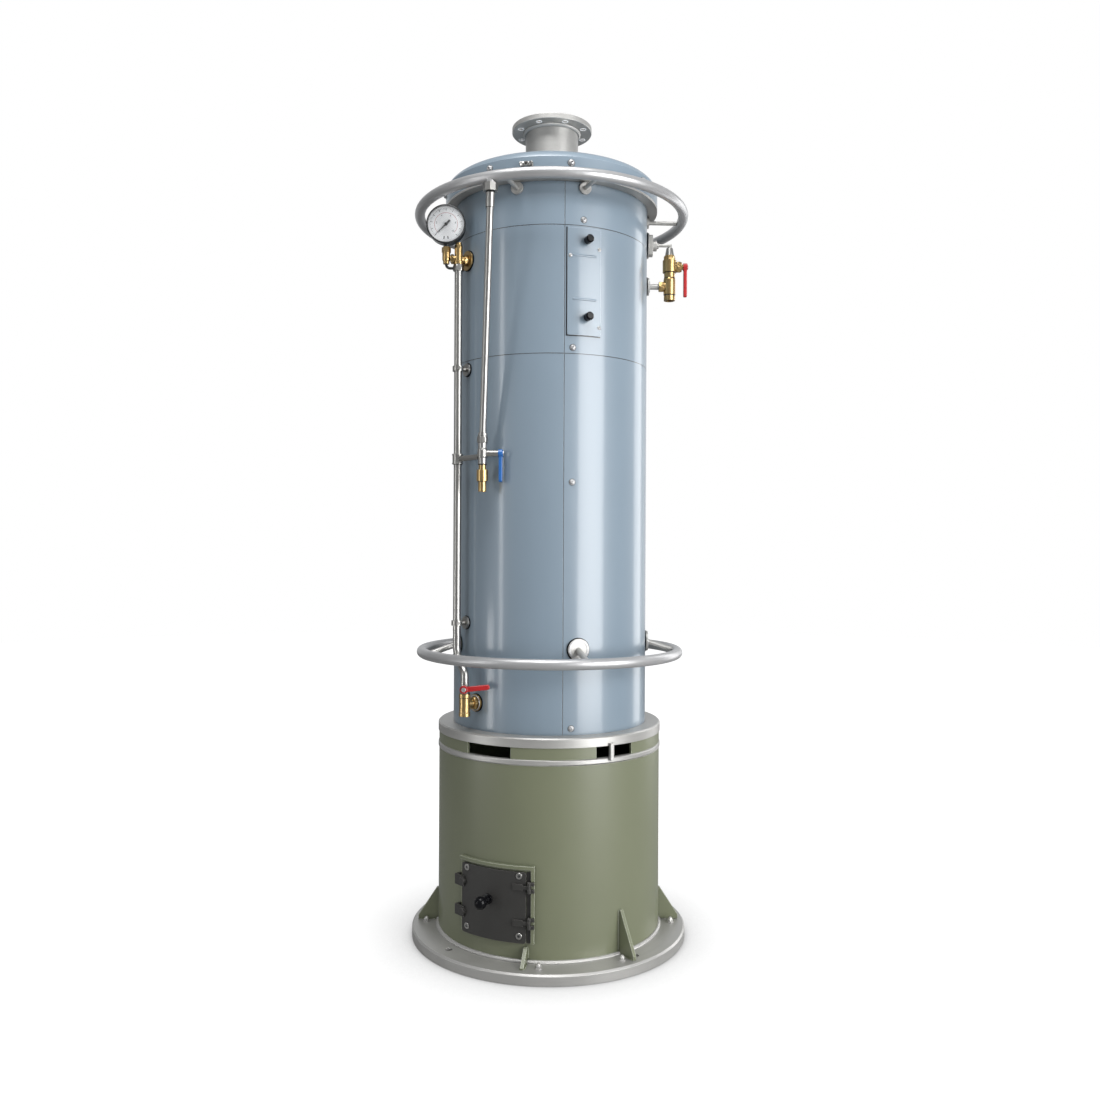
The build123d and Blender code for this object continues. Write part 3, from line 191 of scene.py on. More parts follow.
def placed(shape, spots):
    """Copies of a shape: a copy's point is the spot's origin + x, y, z along its three axes."""
    points, faces = shape
    spots = np.asarray(spots, float)
    copies = spots[:, None, 0] + np.einsum("pk,nkc->npc", points, spots[:, 1:])
    shift = np.arange(len(spots))[:, None, None] * len(points)
    return copies.reshape(-1, 3), (faces[None] + shift).reshape(-1, faces.shape[1])


def joined(*shapes):
    """Several shapes as one."""
    starts = np.cumsum([0] + [len(points) for points, _ in shapes[:-1]])
    points = np.concatenate([points for points, _ in shapes])
    faces = np.concatenate([faces + start for (_, faces), start in zip(shapes, starts)])
    return points, faces


def bar(width, length, low, high):
    """A flat bar from its origin along the second axis: eight corners, half the width to either side,
    from a low to a high level in millimetres."""
    corners = [(x, y, z) for z in (low, high) for x, y in ((-1, 0), (1, 0), (1, 1), (-1, 1))]
    faces = [(0, 3, 2, 1), (4, 5, 6, 7), (0, 1, 5, 4), (1, 2, 6, 5), (2, 3, 7, 6), (3, 0, 4, 7)]
    return np.array(corners) * [width / 2, length, MM], np.array(faces)


def block(width, depth, height):
    """A block with softened edges: point (u, v) is a superellipse ring, drawn in at both ends.
    It stands on its origin, and its height runs along the third axis."""
    angle = around(48)
    power = 0.22
    round_off = 0.6 * MM
    ring_x = np.sign(np.cos(angle)) * np.abs(np.cos(angle)) ** power
    ring_y = np.sign(np.sin(angle)) * np.abs(np.sin(angle)) ** power
    inset = np.array([width / 2, round_off, 0, 0, round_off, width / 2])
    level = np.array([0, 0, round_off, height - round_off, height, height])
    reach_x = np.maximum(width / 2 - inset, 0)[:, None] * ring_x
    reach_y = np.maximum(depth / 2 - inset * depth / width, 0)[:, None] * ring_y
    grid = np.stack([reach_x, reach_y, np.repeat(level[:, None], 48, axis=1)], axis=-1)
    return grid.reshape(-1, 3), grid_faces(6, 48)


def make_piece(name, shape, finish, body="root"):
    """A mesh from a shape: doubles merged, faces turned outward, smooth but for its sharp edges."""
    points, faces = shape
    mesh = bpy.data.meshes.new(name)
    mesh.from_pydata(points.tolist(), [], faces.tolist())
    clean = bmesh.new()
    clean.from_mesh(mesh)
    bmesh.ops.remove_doubles(clean, verts=clean.verts, dist=1e-6)
    bmesh.ops.recalc_face_normals(clean, faces=clean.faces)
    clean.to_mesh(mesh)
    clean.free()
    mesh.polygons.foreach_set("use_smooth", np.ones(len(mesh.polygons), bool))
    mesh.set_sharp_from_angle(angle=radians(38))
    mesh.materials.append(finishes[finish])
    piece = bpy.data.objects.new(name, mesh)
    bpy.context.scene.collection.objects.link(piece)
    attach(piece, body)


# Node groups: effects that several finishes share


def node(tree, kind, inputs=None, **settings):
    """Add a node, set its properties, and set or link its inputs."""
    made = tree.nodes.new(kind)
    for name, value in settings.items():
        setattr(made, name, value)
    for name, value in (inputs or {}).items():
        if isinstance(value, bpy.types.NodeSocket):
            tree.links.new(value, made.inputs[name])
        else:
            made.inputs[name].default_value = value
    return made


def sums(tree, operation, first, second=0.0, third=0.0, clamp=False):
    """Output of a Math node."""
    made = node(tree, "ShaderNodeMath", {0: first, 1: second, 2: third}, operation=operation, use_clamp=clamp)
    return made.outputs[0]


def spread(tree, value, low, high, to_low=0.0, to_high=1.0):
    """A value carried smoothly from one range to another."""
    made = node(tree, "ShaderNodeMapRange", {0: value, 1: low, 2: high, 3: to_low, 4: to_high})
    made.interpolation_type = "SMOOTHSTEP"
    return made.outputs[0]


def noise(tree, vector, scale, detail, roughness=0.55):
    """Output of a Noise texture."""
    made = node(tree, "ShaderNodeTexNoise", {"Vector": vector, "Scale": scale, "Detail": detail})
    made.inputs["Roughness"].default_value = roughness
    return made.outputs["Fac"]


def blend_colours(tree, share, first, second, mode="MIX"):
    """Output of a colour Mix node."""
    made = node(tree, "ShaderNodeMix", {0: share, 6: first, 7: second}, data_type="RGBA", blend_type=mode)
    return made.outputs[2]


def new_group(name, inputs, outputs):
    """An empty shader group with named sockets, and its two end nodes."""
    group = bpy.data.node_groups.new(name, "ShaderNodeTree")
    for socket, kind, value in inputs:
        made = group.interface.new_socket(socket, in_out="INPUT", socket_type=kind)
        if value is not None:
            made.default_value = value
    for socket, kind in outputs:
        group.interface.new_socket(socket, in_out="OUTPUT", socket_type=kind)
    source = group.nodes.new("NodeGroupInput")
    sink = group.nodes.new("NodeGroupOutput")
    return group, source.outputs, sink.inputs


FLOAT, VECTOR = "NodeSocketFloat", "NodeSocketVector"


def group_turned_place():
    """Place round the boiler's axis: (arc length at a metre's radius, radius, height)."""
    group, given, result = new_group("turned_place", [("Vector", VECTOR, None)], [("Vector", VECTOR)])
    parts = node(group, "ShaderNodeSeparateXYZ", {0: given["Vector"]})
    turn = sums(group, "ARCTAN2", parts.outputs[1], parts.outputs[0])
    squares = [sums(group, "POWER", parts.outputs[index], 2.0) for index in (0, 1)]
    square = sums(group, "ADD", *squares)
    radius = sums(group, "SQRT", square)
    whole = node(group, "ShaderNodeCombineXYZ", {0: turn, 1: radius, 2: parts.outputs[2]})
    group.links.new(whole.outputs[0], result["Vector"])
    return group


def group_brushing():
    """Fine scratches along the first axis of a place, as a height and as a shade about 1."""
    inputs = [("Vector", VECTOR, None), ("Fineness", FLOAT, 900.0), ("Length", FLOAT, 12.0)]
    inputs.append(("Shade", FLOAT, 0.12))
    group, given, result = new_group("brushing", inputs, [("Height", FLOAT), ("Shade", FLOAT)])
    across = given["Fineness"]
    stretch = node(group, "ShaderNodeCombineXYZ", {0: given["Length"], 1: across, 2: across})
    factors = {0: given["Vector"], 1: stretch.outputs[0]}
    drawn = node(group, "ShaderNodeVectorMath", factors, operation="MULTIPLY")
    fine = noise(group, drawn.outputs[0], 1.0, 4.0, 0.7)
    coarse = noise(group, drawn.outputs[0], 0.13, 2.0)
    height = sums(group, "ADD", sums(group, "MULTIPLY", fine, 0.7), sums(group, "MULTIPLY", coarse, 0.3))
    centred = sums(group, "SUBTRACT", height, 0.5)
    shade = sums(group, "MULTIPLY_ADD", centred, sums(group, "MULTIPLY", given["Shade"], 4.0), 1.0)
    group.links.new(height, result["Height"])
    group.links.new(shade, result["Shade"])
    return group


def group_mottle():
    """Soft clouds and fine specks, as a shade about 1 and a mask of specks."""
    inputs = [("Vector", VECTOR, None), ("Scale", FLOAT, 6.0), ("Depth", FLOAT, 0.06)]
    group, given, result = new_group("mottle", inputs, [("Shade", FLOAT), ("Specks", FLOAT)])
    cloud = noise(group, given["Vector"], given["Scale"], 4.0, 0.6)
    grit = noise(group, given["Vector"], sums(group, "MULTIPLY", given["Scale"], 60.0), 2.0)
    centred = sums(group, "SUBTRACT", cloud, 0.5)
    shade = sums(group, "MULTIPLY_ADD", centred, sums(group, "MULTIPLY", given["Depth"], 3.0), 1.0)
    group.links.new(shade, result["Shade"])
    group.links.new(spread(group, grit, 0.68, 0.78), result["Specks"])
    return group


def group_peel():
    """The fine unevenness of sprayed paint, over a slow waviness of the sheet beneath it."""
    inputs = [("Vector", VECTOR, None), ("Grain", FLOAT, 420.0), ("Waves", FLOAT, 5.0)]
    inputs.append(("Wave Height", FLOAT, 1.0))
    group, given, result = new_group("peel", inputs, [("Height", FLOAT)])
    fine = noise(group, given["Vector"], given["Grain"], 2.0)
    slow = noise(group, given["Vector"], given["Waves"], 1.0)
    height = sums(group, "MULTIPLY_ADD", slow, given["Wave Height"], sums(group, "MULTIPLY", fine, 0.02))
    group.links.new(height, result["Height"])
    return group


def group_edge_rub():
    """Where a piece's edges are rubbed and get a painted highlight: the rounded normal leaves the true one
    within a radius.
    """
    inputs = [("Radius", FLOAT, 0.0012)]
    group, given, result = new_group("edge_wear_and_highlight", inputs, [("Mask", FLOAT), ("Normal", VECTOR)])
    rounded = node(group, "ShaderNodeBevel", {"Radius": given["Radius"]}, samples=4)
    plain = node(group, "ShaderNodeNewGeometry")
    normals = {0: rounded.outputs[0], 1: plain.outputs["Normal"]}
    facing = node(group, "ShaderNodeVectorMath", normals, operation="DOT_PRODUCT")
    # This mask lightens edges in the finishes: partly rubbed wear, partly a painted highlight.
    group.links.new(spread(group, facing.outputs["Value"], 0.995, 0.9), result["Mask"])
    group.links.new(rounded.outputs[0], result["Normal"])
    return group


def group_crevice():
    """Dirt and painted shade in crevices: how far nearby surfaces close a place in, broken up by noise."""
    inputs = [("Vector", VECTOR, None), ("Distance", FLOAT, 0.012)]
    group, given, result = new_group("crevice_dirt_and_shade", inputs, [("Mask", FLOAT)])
    closed = node(group, "ShaderNodeAmbientOcclusion", {"Distance": given["Distance"]}, samples=4)
    # Painted shade: the more nearby surfaces close a place in, the stronger the mask.
    deep = spread(group, closed.outputs["AO"], 0.82, 0.2)
    broken = spread(group, noise(group, given["Vector"], 160.0, 3.0), 0.25, 0.75, 0.55, 1.0)
    group.links.new(sums(group, "MULTIPLY", deep, broken, clamp=True), result["Mask"])
    return group


groups = {
    "turned_place": group_turned_place(),
    "brushing": group_brushing(),
    "mottle": group_mottle(),
    "peel": group_peel(),
    "edge_wear_and_highlight": group_edge_rub(),
    "crevice_dirt_and_shade": group_crevice(),
}


def effect(tree, name, **inputs):
    """Place a shared group in a finish, with its own values."""
    named = {key.replace("_", " "): value for key, value in inputs.items()}
    return node(tree, "ShaderNodeGroup", named, node_tree=groups[name]).outputs


def new_finish(name):
    """An empty finish: its node tree, its shader and the object coordinates."""
    finish = bpy.data.materials.new(name)
    finish.use_nodes = True
    tree = finish.node_tree
    shader = tree.nodes["Principled BSDF"]
    place = node(tree, "ShaderNodeTexCoord").outputs["Object"]
    return finish, tree, shader, place


def shaded(tree, colour, shade):
    """A colour, constant or linked, times a shade about 1."""
    grey = node(tree, "ShaderNodeCombineXYZ", {0: shade, 1: shade, 2: shade})
    first = colour if isinstance(colour, bpy.types.NodeSocket) else (*colour, 1.0)
    return blend_colours(tree, 1.0, first, grey.outputs[0], "MULTIPLY")


def bumped(tree, height, strength, distance, under):
    """Normal of a Bump node, over another normal unless that is None."""
    inputs = {"Height": height, "Strength": strength, "Distance": distance}
    if under is not None:
        inputs["Normal"] = under
    return node(tree, "ShaderNodeBump", inputs).outputs[0]


# Finishes


def sprayed_paint(name, colour, rubbed_and_highlight, grime_and_shade, roughness, coat, edge=1.1, wave_height=1.0, mottle=0.06):
    """Sprayed paint on sheet or plate: clouds, peel, pale edges of rubbed wear and painted highlight, and
    grime with painted shade in the corners.
    """
    finish, tree, shader, place = new_finish(name)
    mottled = effect(tree, "mottle", Vector=place, Scale=4.0, Depth=mottle)
    rub_and_highlight = effect(tree, "edge_wear_and_highlight", Radius=edge * MM)
    dirt_and_shade = effect(tree, "crevice_dirt_and_shade", Vector=place, Distance=18 * MM)
    turned_place = effect(tree, "turned_place", Vector=place)["Vector"]
    peel = effect(tree, "peel", Vector=turned_place, Grain=420.0, Waves=5.0, Wave_Height=wave_height)
    base = shaded(tree, colour, mottled["Shade"])
    # Paler edges: partly rubbed wear, partly a painted highlight.
    base = blend_colours(tree, sums(tree, "MULTIPLY", rub_and_highlight["Mask"], 0.75), base, (*rubbed_and_highlight, 1.0))
    # Darker corners: partly grime, partly painted shade.
    base = blend_colours(tree, sums(tree, "MULTIPLY", dirt_and_shade["Mask"], 0.75), base, (*grime_and_shade, 1.0))
    tree.links.new(base, shader.inputs["Base Color"])
    rough = sums(tree, "MULTIPLY_ADD", mottled["Shade"], 0.35, roughness - 0.35)
    tree.links.new(rough, shader.inputs["Roughness"])
    normal = bumped(tree, peel["Height"], 0.5, 1.6 * MM, rub_and_highlight["Normal"])
    tree.links.new(normal, shader.inputs["Normal"])
    shader.inputs["Coat Weight"].default_value = coat
    shader.inputs["Coat Roughness"].default_value = 0.14
    return finish


def brushed_metal(name, colour, rubbed_and_highlight, roughness, metallic, fineness, length, shade):
    """Bare metal with fine scratches round the axis, bright edges of wear and painted highlight, and dirt
    with painted shade in its corners.
    """
    finish, tree, shader, place = new_finish(name)
    turned_place = effect(tree, "turned_place", Vector=place)["Vector"]
    marks = effect(tree, "brushing", Vector=turned_place, Fineness=fineness, Length=length, Shade=shade)
    mottled = effect(tree, "mottle", Vector=place, Scale=9.0, Depth=0.07)
    rub_and_highlight = effect(tree, "edge_wear_and_highlight", Radius=0.9 * MM)
    dirt_and_shade = effect(tree, "crevice_dirt_and_shade", Vector=place, Distance=9 * MM)
    tone = sums(tree, "MULTIPLY", marks["Shade"], mottled["Shade"])
    base = shaded(tree, colour, tone)
    # Brighter edges: partly wear, partly a painted highlight.
    base = blend_colours(tree, sums(tree, "MULTIPLY", rub_and_highlight["Mask"], 0.5), base, (*rubbed_and_highlight, 1.0))
    # Darker corners: partly dirt, partly painted shade.
    dark = tuple(0.25 * part for part in colour)
    base = blend_colours(tree, sums(tree, "MULTIPLY", dirt_and_shade["Mask"], 0.6), base, (*dark, 1.0))
    tree.links.new(base, shader.inputs["Base Color"])
    rough = sums(tree, "MULTIPLY_ADD", marks["Height"], 0.18, roughness - 0.09)
    tree.links.new(rough, shader.inputs["Roughness"])
    tree.links.new(bumped(tree, marks["Height"], 0.35, 0.12 * MM, rub_and_highlight["Normal"]), shader.inputs["Normal"])
    shader.inputs["Metallic"].default_value = metallic
    return finish


def polished_metal(name, colour, stain_and_shade, roughness, edge):
    """Drawn and polished metal: faint clouds in its gloss, stains and painted shade in its corners. Its edges
    are rounded by that many millimetres, or left sharp at 0."""
    finish, tree, shader, place = new_finish(name)
    mottled = effect(tree, "mottle", Vector=place, Scale=40.0, Depth=0.05)
    rounded = effect(tree, "edge_wear_and_highlight", Radius=edge * MM)["Normal"] if edge else None
    dirt_and_shade = effect(tree, "crevice_dirt_and_shade", Vector=place, Distance=5 * MM)
    base = shaded(tree, colour, mottled["Shade"])
    # Darker corners: partly stains, partly painted shade.
    base = blend_colours(tree, sums(tree, "MULTIPLY", dirt_and_shade["Mask"], 0.8), base, (*stain_and_shade, 1.0))
    tree.links.new(base, shader.inputs["Base Color"])
    rough = sums(tree, "MULTIPLY_ADD", mottled["Shade"], 0.12, roughness - 0.12)
    tree.links.new(rough, shader.inputs["Roughness"])
    fine = noise(tree, place, 700.0, 2.0)
    tree.links.new(bumped(tree, fine, 0.12, 0.02 * MM, rounded), shader.inputs["Normal"])
    shader.inputs["Metallic"].default_value = 1.0
    return finish


def moulded(name, colour, roughness, coat, gloss=0.5):
    """Dipped or moulded plastic: a slight unevenness, paler at its edges with wear and a painted highlight.
    """
    finish, tree, shader, place = new_finish(name)
    mottled = effect(tree, "mottle", Vector=place, Scale=60.0, Depth=0.08)
    rub_and_highlight = effect(tree, "edge_wear_and_highlight", Radius=0.8 * MM)
    pale_edge_and_highlight = tuple(min(1.0, part * 1.5 + 0.02) for part in colour)
    base = shaded(tree, colour, mottled["Shade"])
    # Paler edges: partly wear, partly a painted highlight.
    base = blend_colours(tree, sums(tree, "MULTIPLY", rub_and_highlight["Mask"], 0.4), base, (*pale_edge_and_highlight, 1.0))
    tree.links.new(base, shader.inputs["Base Color"])
    rough = sums(tree, "MULTIPLY_ADD", mottled["Shade"], 0.2, roughness - 0.2)
    tree.links.new(rough, shader.inputs["Roughness"])
    lumps = noise(tree, place, 260.0, 2.0)
    tree.links.new(bumped(tree, lumps, 0.25, 0.15 * MM, rub_and_highlight["Normal"]), shader.inputs["Normal"])
    shader.inputs["Specular IOR Level"].default_value = gloss
    shader.inputs["Coat Weight"].default_value = coat
    shader.inputs["Coat Roughness"].default_value = 0.08
    return finish


def clear_glass(name):
    """Flat gauge glass: nearly clear, glossier at a slant, with a trace of dust."""
    finish, tree, shader, place = new_finish(name)
    mottled = effect(tree, "mottle", Vector=place, Scale=30.0, Depth=0.05)
    slant = node(tree, "ShaderNodeFresnel", {"IOR": 1.45}).outputs[0]
    dust = sums(tree, "MULTIPLY", mottled["Specks"], 0.05)
    seen = sums(tree, "ADD", sums(tree, "MULTIPLY_ADD", slant, 0.6, 0.02), dust, clamp=True)
    tree.links.new(seen, shader.inputs["Alpha"])
    tree.links.new(shaded(tree, (0.92, 0.95, 0.96), mottled["Shade"]), shader.inputs["Base Color"])
    shader.inputs["Roughness"].default_value = 0.03
    return finish


def printed_dial(name):
    """White enamelled dial, faintly uneven."""
    finish, tree, shader, place = new_finish(name)
    mottled = effect(tree, "mottle", Vector=place, Scale=50.0, Depth=0.03)
    base = shaded(tree, (0.96, 0.96, 0.97), mottled["Shade"])
    base = blend_colours(tree, sums(tree, "MULTIPLY", mottled["Specks"], 0.15), base, (0.6, 0.6, 0.58, 1.0))
    tree.links.new(base, shader.inputs["Base Color"])
    shader.inputs["Roughness"].default_value = 0.4
    return finish


finishes = {
    "sage_paint": sprayed_paint(
        "sage_paint",
        colour=(0.141, 0.153, 0.095),
        rubbed_and_highlight=(0.62, 0.65, 0.55),
        grime_and_shade=(0.05, 0.055, 0.04),
        roughness=0.42,
        coat=0.25,
        edge=2.0,
        wave_height=0.5,
    ),
    "blue_grey_paint": sprayed_paint(
        "blue_grey_paint",
        colour=(0.170, 0.221, 0.269),
        rubbed_and_highlight=(0.62, 0.70, 0.78),
        grime_and_shade=(0.06, 0.08, 0.10),
        roughness=0.37,
        coat=0.6,
        mottle=0.03,
    ),
    "door_black": sprayed_paint(
        "door_black",
        colour=(0.026, 0.025, 0.023),
        rubbed_and_highlight=(0.16, 0.15, 0.14),
        grime_and_shade=(0.005, 0.005, 0.005),
        roughness=0.5,
        coat=0.0,
        wave_height=0.3,
    ),
    "gauge_black": sprayed_paint(
        "gauge_black",
        colour=(0.011, 0.012, 0.013),
        rubbed_and_highlight=(0.09, 0.09, 0.09),
        grime_and_shade=(0.004, 0.004, 0.004),
        roughness=0.3,
        coat=0.25,
        wave_height=0.1,
    ),
    "bare_steel": brushed_metal(
        "bare_steel",
        colour=(0.43, 0.425, 0.41),
        rubbed_and_highlight=(0.80, 0.80, 0.78),
        roughness=0.42,
        metallic=0.65,
        fineness=900.0,
        length=9.0,
        shade=0.10,
    ),
    "ring_steel": brushed_metal(
        "ring_steel",
        colour=(0.42, 0.42, 0.425),
        rubbed_and_highlight=(0.8, 0.8, 0.8),
        roughness=0.36,
        metallic=0.6,
        fineness=700.0,
        length=6.0,
        shade=0.05,
    ),
    "polished_steel": polished_metal(
        "polished_steel", colour=(0.38, 0.375, 0.36), stain_and_shade=(0.05, 0.045, 0.04), roughness=0.33, edge=0
    ),
    "brass": polished_metal(
        "brass", colour=(0.48, 0.335, 0.15), stain_and_shade=(0.08, 0.045, 0.016), roughness=0.30, edge=0.5
    ),
    "knob_plastic": moulded("knob_plastic", (0.003, 0.003, 0.004), roughness=0.21, coat=0.0, gloss=0.15),
    "red_lever": moulded("red_lever", (0.38, 0.011, 0.013), roughness=0.34, coat=0.3),
    "blue_lever": moulded("blue_lever", (0.010, 0.095, 0.32), roughness=0.34, coat=0.3),
    "dial_white": printed_dial("dial_white"),
    "gauge_glass": clear_glass("gauge_glass"),
}

for part in frame["record"]["subparts"]:
    made = frame["nodes"][part["node"]]
    for slot in made.material_slots:
        slot.material = finishes[part["material_slot"]]


# Places on the pipework
cross_point = bearing(standpipe_bearing, standpipe_reach, body_bottom + 1112 * MM)
link_point = bearing(standpipe_bearing, standpipe_reach, body_bottom + 638 * MM)
drain_point = bearing(drain_bearing, drain_reach, body_bottom + 64 * MM)
side_tee_point = bearing(side_bearing, side_reach, side_tee_height)
side_valve_point = bearing(side_bearing, side_reach, side_valve_height)


def downpipe_line():
    """Foot and head of the slanted downpipe, and the unit direction from foot to head."""
    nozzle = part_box("downpipe_nozzle")[0]
    low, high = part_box("downpipe")
    union_low, union_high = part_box("downpipe_union")
    foot = np.array([nozzle.x + 13.2 * MM, nozzle.y + 13.2 * MM, low.z])
    head = np.array([(union_low.x + union_high.x) / 2, (union_low.y + union_high.y) / 2, high.z])
    return foot, head, (head - foot) / np.linalg.norm(head - foot)


# Screws, nuts and washers


def disc(radius, low, high, sides=36):
    """A plain disc between two levels."""
    return turned([(0, low), (radius, low), (radius, high), (0, high)], sides)


def pan_head(radius, height):
    """A domed screw head on a thin washer, with a small round socket: a turned profile."""
    washer = 1.25 * radius
    thick = 0.18 * radius
    lip = 0.36 * radius
    hollow = height - 0.45 * radius
    profile = [
        (0, -thick),
        (washer, -thick),
        (washer, thick),
        (radius, thick),
        (radius, 0.55 * height),
        (0.92 * radius, 0.78 * height),
        (0.7 * radius, 0.94 * height),
        (lip, height),
        (lip, hollow),
        (0, hollow),
    ]
    return turned(profile, 32)


def hex_nut(radius, height, bore=0.0):
    """A chamfered six-sided nut or bolt head, standing on its origin: a turned profile cut to six flats."""
    end = [(bore, height), (bore, 0.4 * height), (0, 0.4 * height)] if bore else [(0, height)]
    profile = [
        (0, 0),
        (0.93 * radius, 0),
        (radius, 0.08 * height),
        (radius, 0.86 * height),
        (0.86 * radius, height),
        *end,
    ]
    return turned(profile, 48, flats=6)


def cap_nut(radius, height):
    """An acorn nut on a washer: a hexagon under a dome, whose height follows the sine of its angle."""
    low = 0.25 * radius
    shoulder = low + 0.45 * height
    top = low + 0.52 * height
    profile = [(0, low), (radius, low), (radius, shoulder), (0.85 * radius, top), (0, top)]
    angles = np.linspace(0, pi / 2, 8)
    rise = low + 0.5 * height
    dome = [(0, rise)] + [(0.8 * radius * cos(a), rise + 0.5 * height * sin(a)) for a in angles]
    return joined(disc(1.35 * radius, 0, low, 32), turned(profile, 48, flats=6), turned(dome, 32))


def slim_ring(inner, outer, height):
    """A flat ring with softened outer edges, standing on its origin."""
    soft = min(0.3 * height, 0.4 * MM)
    profile = [
        (inner, 0),
        (outer, 0),
        (outer, height - soft),
        (outer - soft, height),
        (inner + soft, height),
        (inner, height - soft),
        (inner, 0),
    ]
    return turned(profile, 48)


def seam_ring(radius, height):
    """A thin upright band round the axis, just proud of a wall of that radius."""
    low, high = radius - 0.8 * MM, radius + 0.12 * MM
    return turned([(low, 0), (high, 0), (high, height), (low, height), (low, 0)], 256)


def hexagons(rows):
    """Hexagons from rows of origin, direction, radius and height, the last two in millimetres."""
    return [placed(hex_nut(r * MM, h * MM), [spot(o, d, radians(10))]) for o, d, r, h in rows]


# Trim of the body and the lid


def add_jacket_screws():
    """Screws beside the jacket's two upright seams, and at the access panel's edges."""
    seam_screws = [(12.0, 545), (12.0, 1109), (12.0, 1417), (18.0, 1711)]
    spots = [on_wall(a + turn, body_radius, z * MM) for turn in (0, 180) for a, z in seam_screws]
    spots.append(on_wall(-79, body_radius, 690 * MM))
    make_piece("jacket_screws", placed(pan_head(5.2 * MM, 4.2 * MM), spots), "ring_steel")
    # Black discs under the screw heads, wider than their washers, so a dark ring shows round each.
    make_piece("jacket_screw_dark_rings", placed(disc(7.6 * MM, -0.8 * MM, 0.5 * MM), spots), "gauge_black")
    panel_face = body_radius + 3.3 * MM
    panel_screws = [(27.0, 1645.5), (27.0, 1465.5), (10.3, 1627)]
    spots = [on_wall(a, panel_face, z * MM) for a, z in panel_screws]
    make_piece("panel_screws", placed(pan_head(3.6 * MM, 3.0 * MM), spots), "ring_steel")


def add_panel_beads():
    """Two shallow pressed beads across the access panel: a half-round outline carried along an arc."""
    bearings = np.radians(np.linspace(11.2, 25.6, 60))
    angle = around(14)
    share = np.linspace(0, 1, 60)
    fade = np.sqrt(np.clip(np.minimum(share, 1 - share) * 14, 0, 1))[:, None]
    outline = np.stack([1.7 * MM * np.cos(angle) * fade, 3.0 * MM * np.sin(angle) * fade], axis=-1)
    radius = body_radius + 3.1 * MM
    beads = [carried(*wall_arc(bearings, radius, z * MM), outline, False) for z in (1628, 1528)]
    make_piece("panel_beads", joined(*beads), "blue_grey_paint")


def add_lid_hardware():
    """Bolts round the lid's rim, one of them a wing clamp: each wing is an ellipse carried along a
    path that lifts with the square of its reach."""
    height = body_top + 27.5 * MM
    bolts = [-32.5, 9.6, 54.6, 99.6, 144.6, 189.6, 234.6, 279.6]
    spots = [on_wall(a, lid_radius, height) for a in bolts]
    make_piece("lid_rim_bolts", placed(pan_head(6.0 * MM, 6.0 * MM), spots), "ring_steel")
    # Black discs under the bolt heads, wider than their washers, so a dark ring shows round each.
    make_piece("lid_bolt_dark_rings", placed(disc(8.4 * MM, -0.8 * MM, 0.4 * MM), spots), "gauge_black")
    clamp_bearing = -12.3
    centre = bearing(clamp_bearing, lid_radius, body_top + 24 * MM)
    out = bearing(clamp_bearing, 1.0)
    side = bearing(clamp_bearing + 90, 1.0)
    boss = placed(hex_nut(6.5 * MM, 9 * MM, bore=2.4 * MM), [spot(centre, out)])
    plate = placed(block(30 * MM, 11 * MM, 3 * MM), [spot(centre, out)])
    share = np.linspace(0, 1, 24)
    angle = around(14)
    girth = np.sqrt(np.clip((1.02 - share) * 5, 0, 1))[:, None]
    outline = np.stack([1.6 * MM * np.cos(angle) * girth, 5.0 * MM * np.sin(angle) * girth], axis=-1)
    lift = (5.5 + 5 * share**2) * MM
    wings = []
    for way in (1, -1):
        reach = way * (4 + 11 * share) * MM
        path = centre + reach[:, None] * side + lift[:, None] * out
        wings.append(carried(path, np.tile(out, (24, 1)), np.tile(upward, (24, 1)), outline, False))
    make_piece("lid_wing_clamp", joined(boss, plate, *wings), "polished_steel")


# Trim of the base


def add_door_hardware():
    """Screws with bright washers at the door's corners."""
    face = 284.9 * MM
    ring = MM * np.array([(0, 0.1), (7.4, 0.1), (7.4, 1.1), (6.8, 1.8), (3.3, 1.8), (3.0, 1.2), (0, 1.2)])
    spots = [on_wall(a, face, z * MM) for z in (221, 86) for a in (-41.2, -13.4)]
    make_piece("door_washers", placed(turned(ring, 36), spots), "polished_steel", "door")
    head = MM * np.array([(0, 1.0), (3.1, 1.0), (2.9, 2.2), (1.2, 2.7), (0, 1.4)])
    make_piece("door_screws", placed(turned(head, 24), spots), "gauge_black", "door")


def add_base_hardware():
    """Acorn nuts in two of the anchor holes, and jacking screws beside the gussets."""
    nuts = [spot(bearing(a, anchor_circle, base_top), upward, radians(a)) for a in (-4, 86)]
    make_piece("anchor_nuts", placed(cap_nut(7.2 * MM, 11 * MM), nuts), "bare_steel")
    beside = [-86.0, 33.4, 146.5, 215.5]
    screws = [spot(bearing(a, anchor_circle, base_top), upward, radians(2 * a)) for a in beside]
    make_piece("jacking_screws", placed(cap_nut(6.6 * MM, 10 * MM), screws), "bare_steel")


# Trim of the pipework


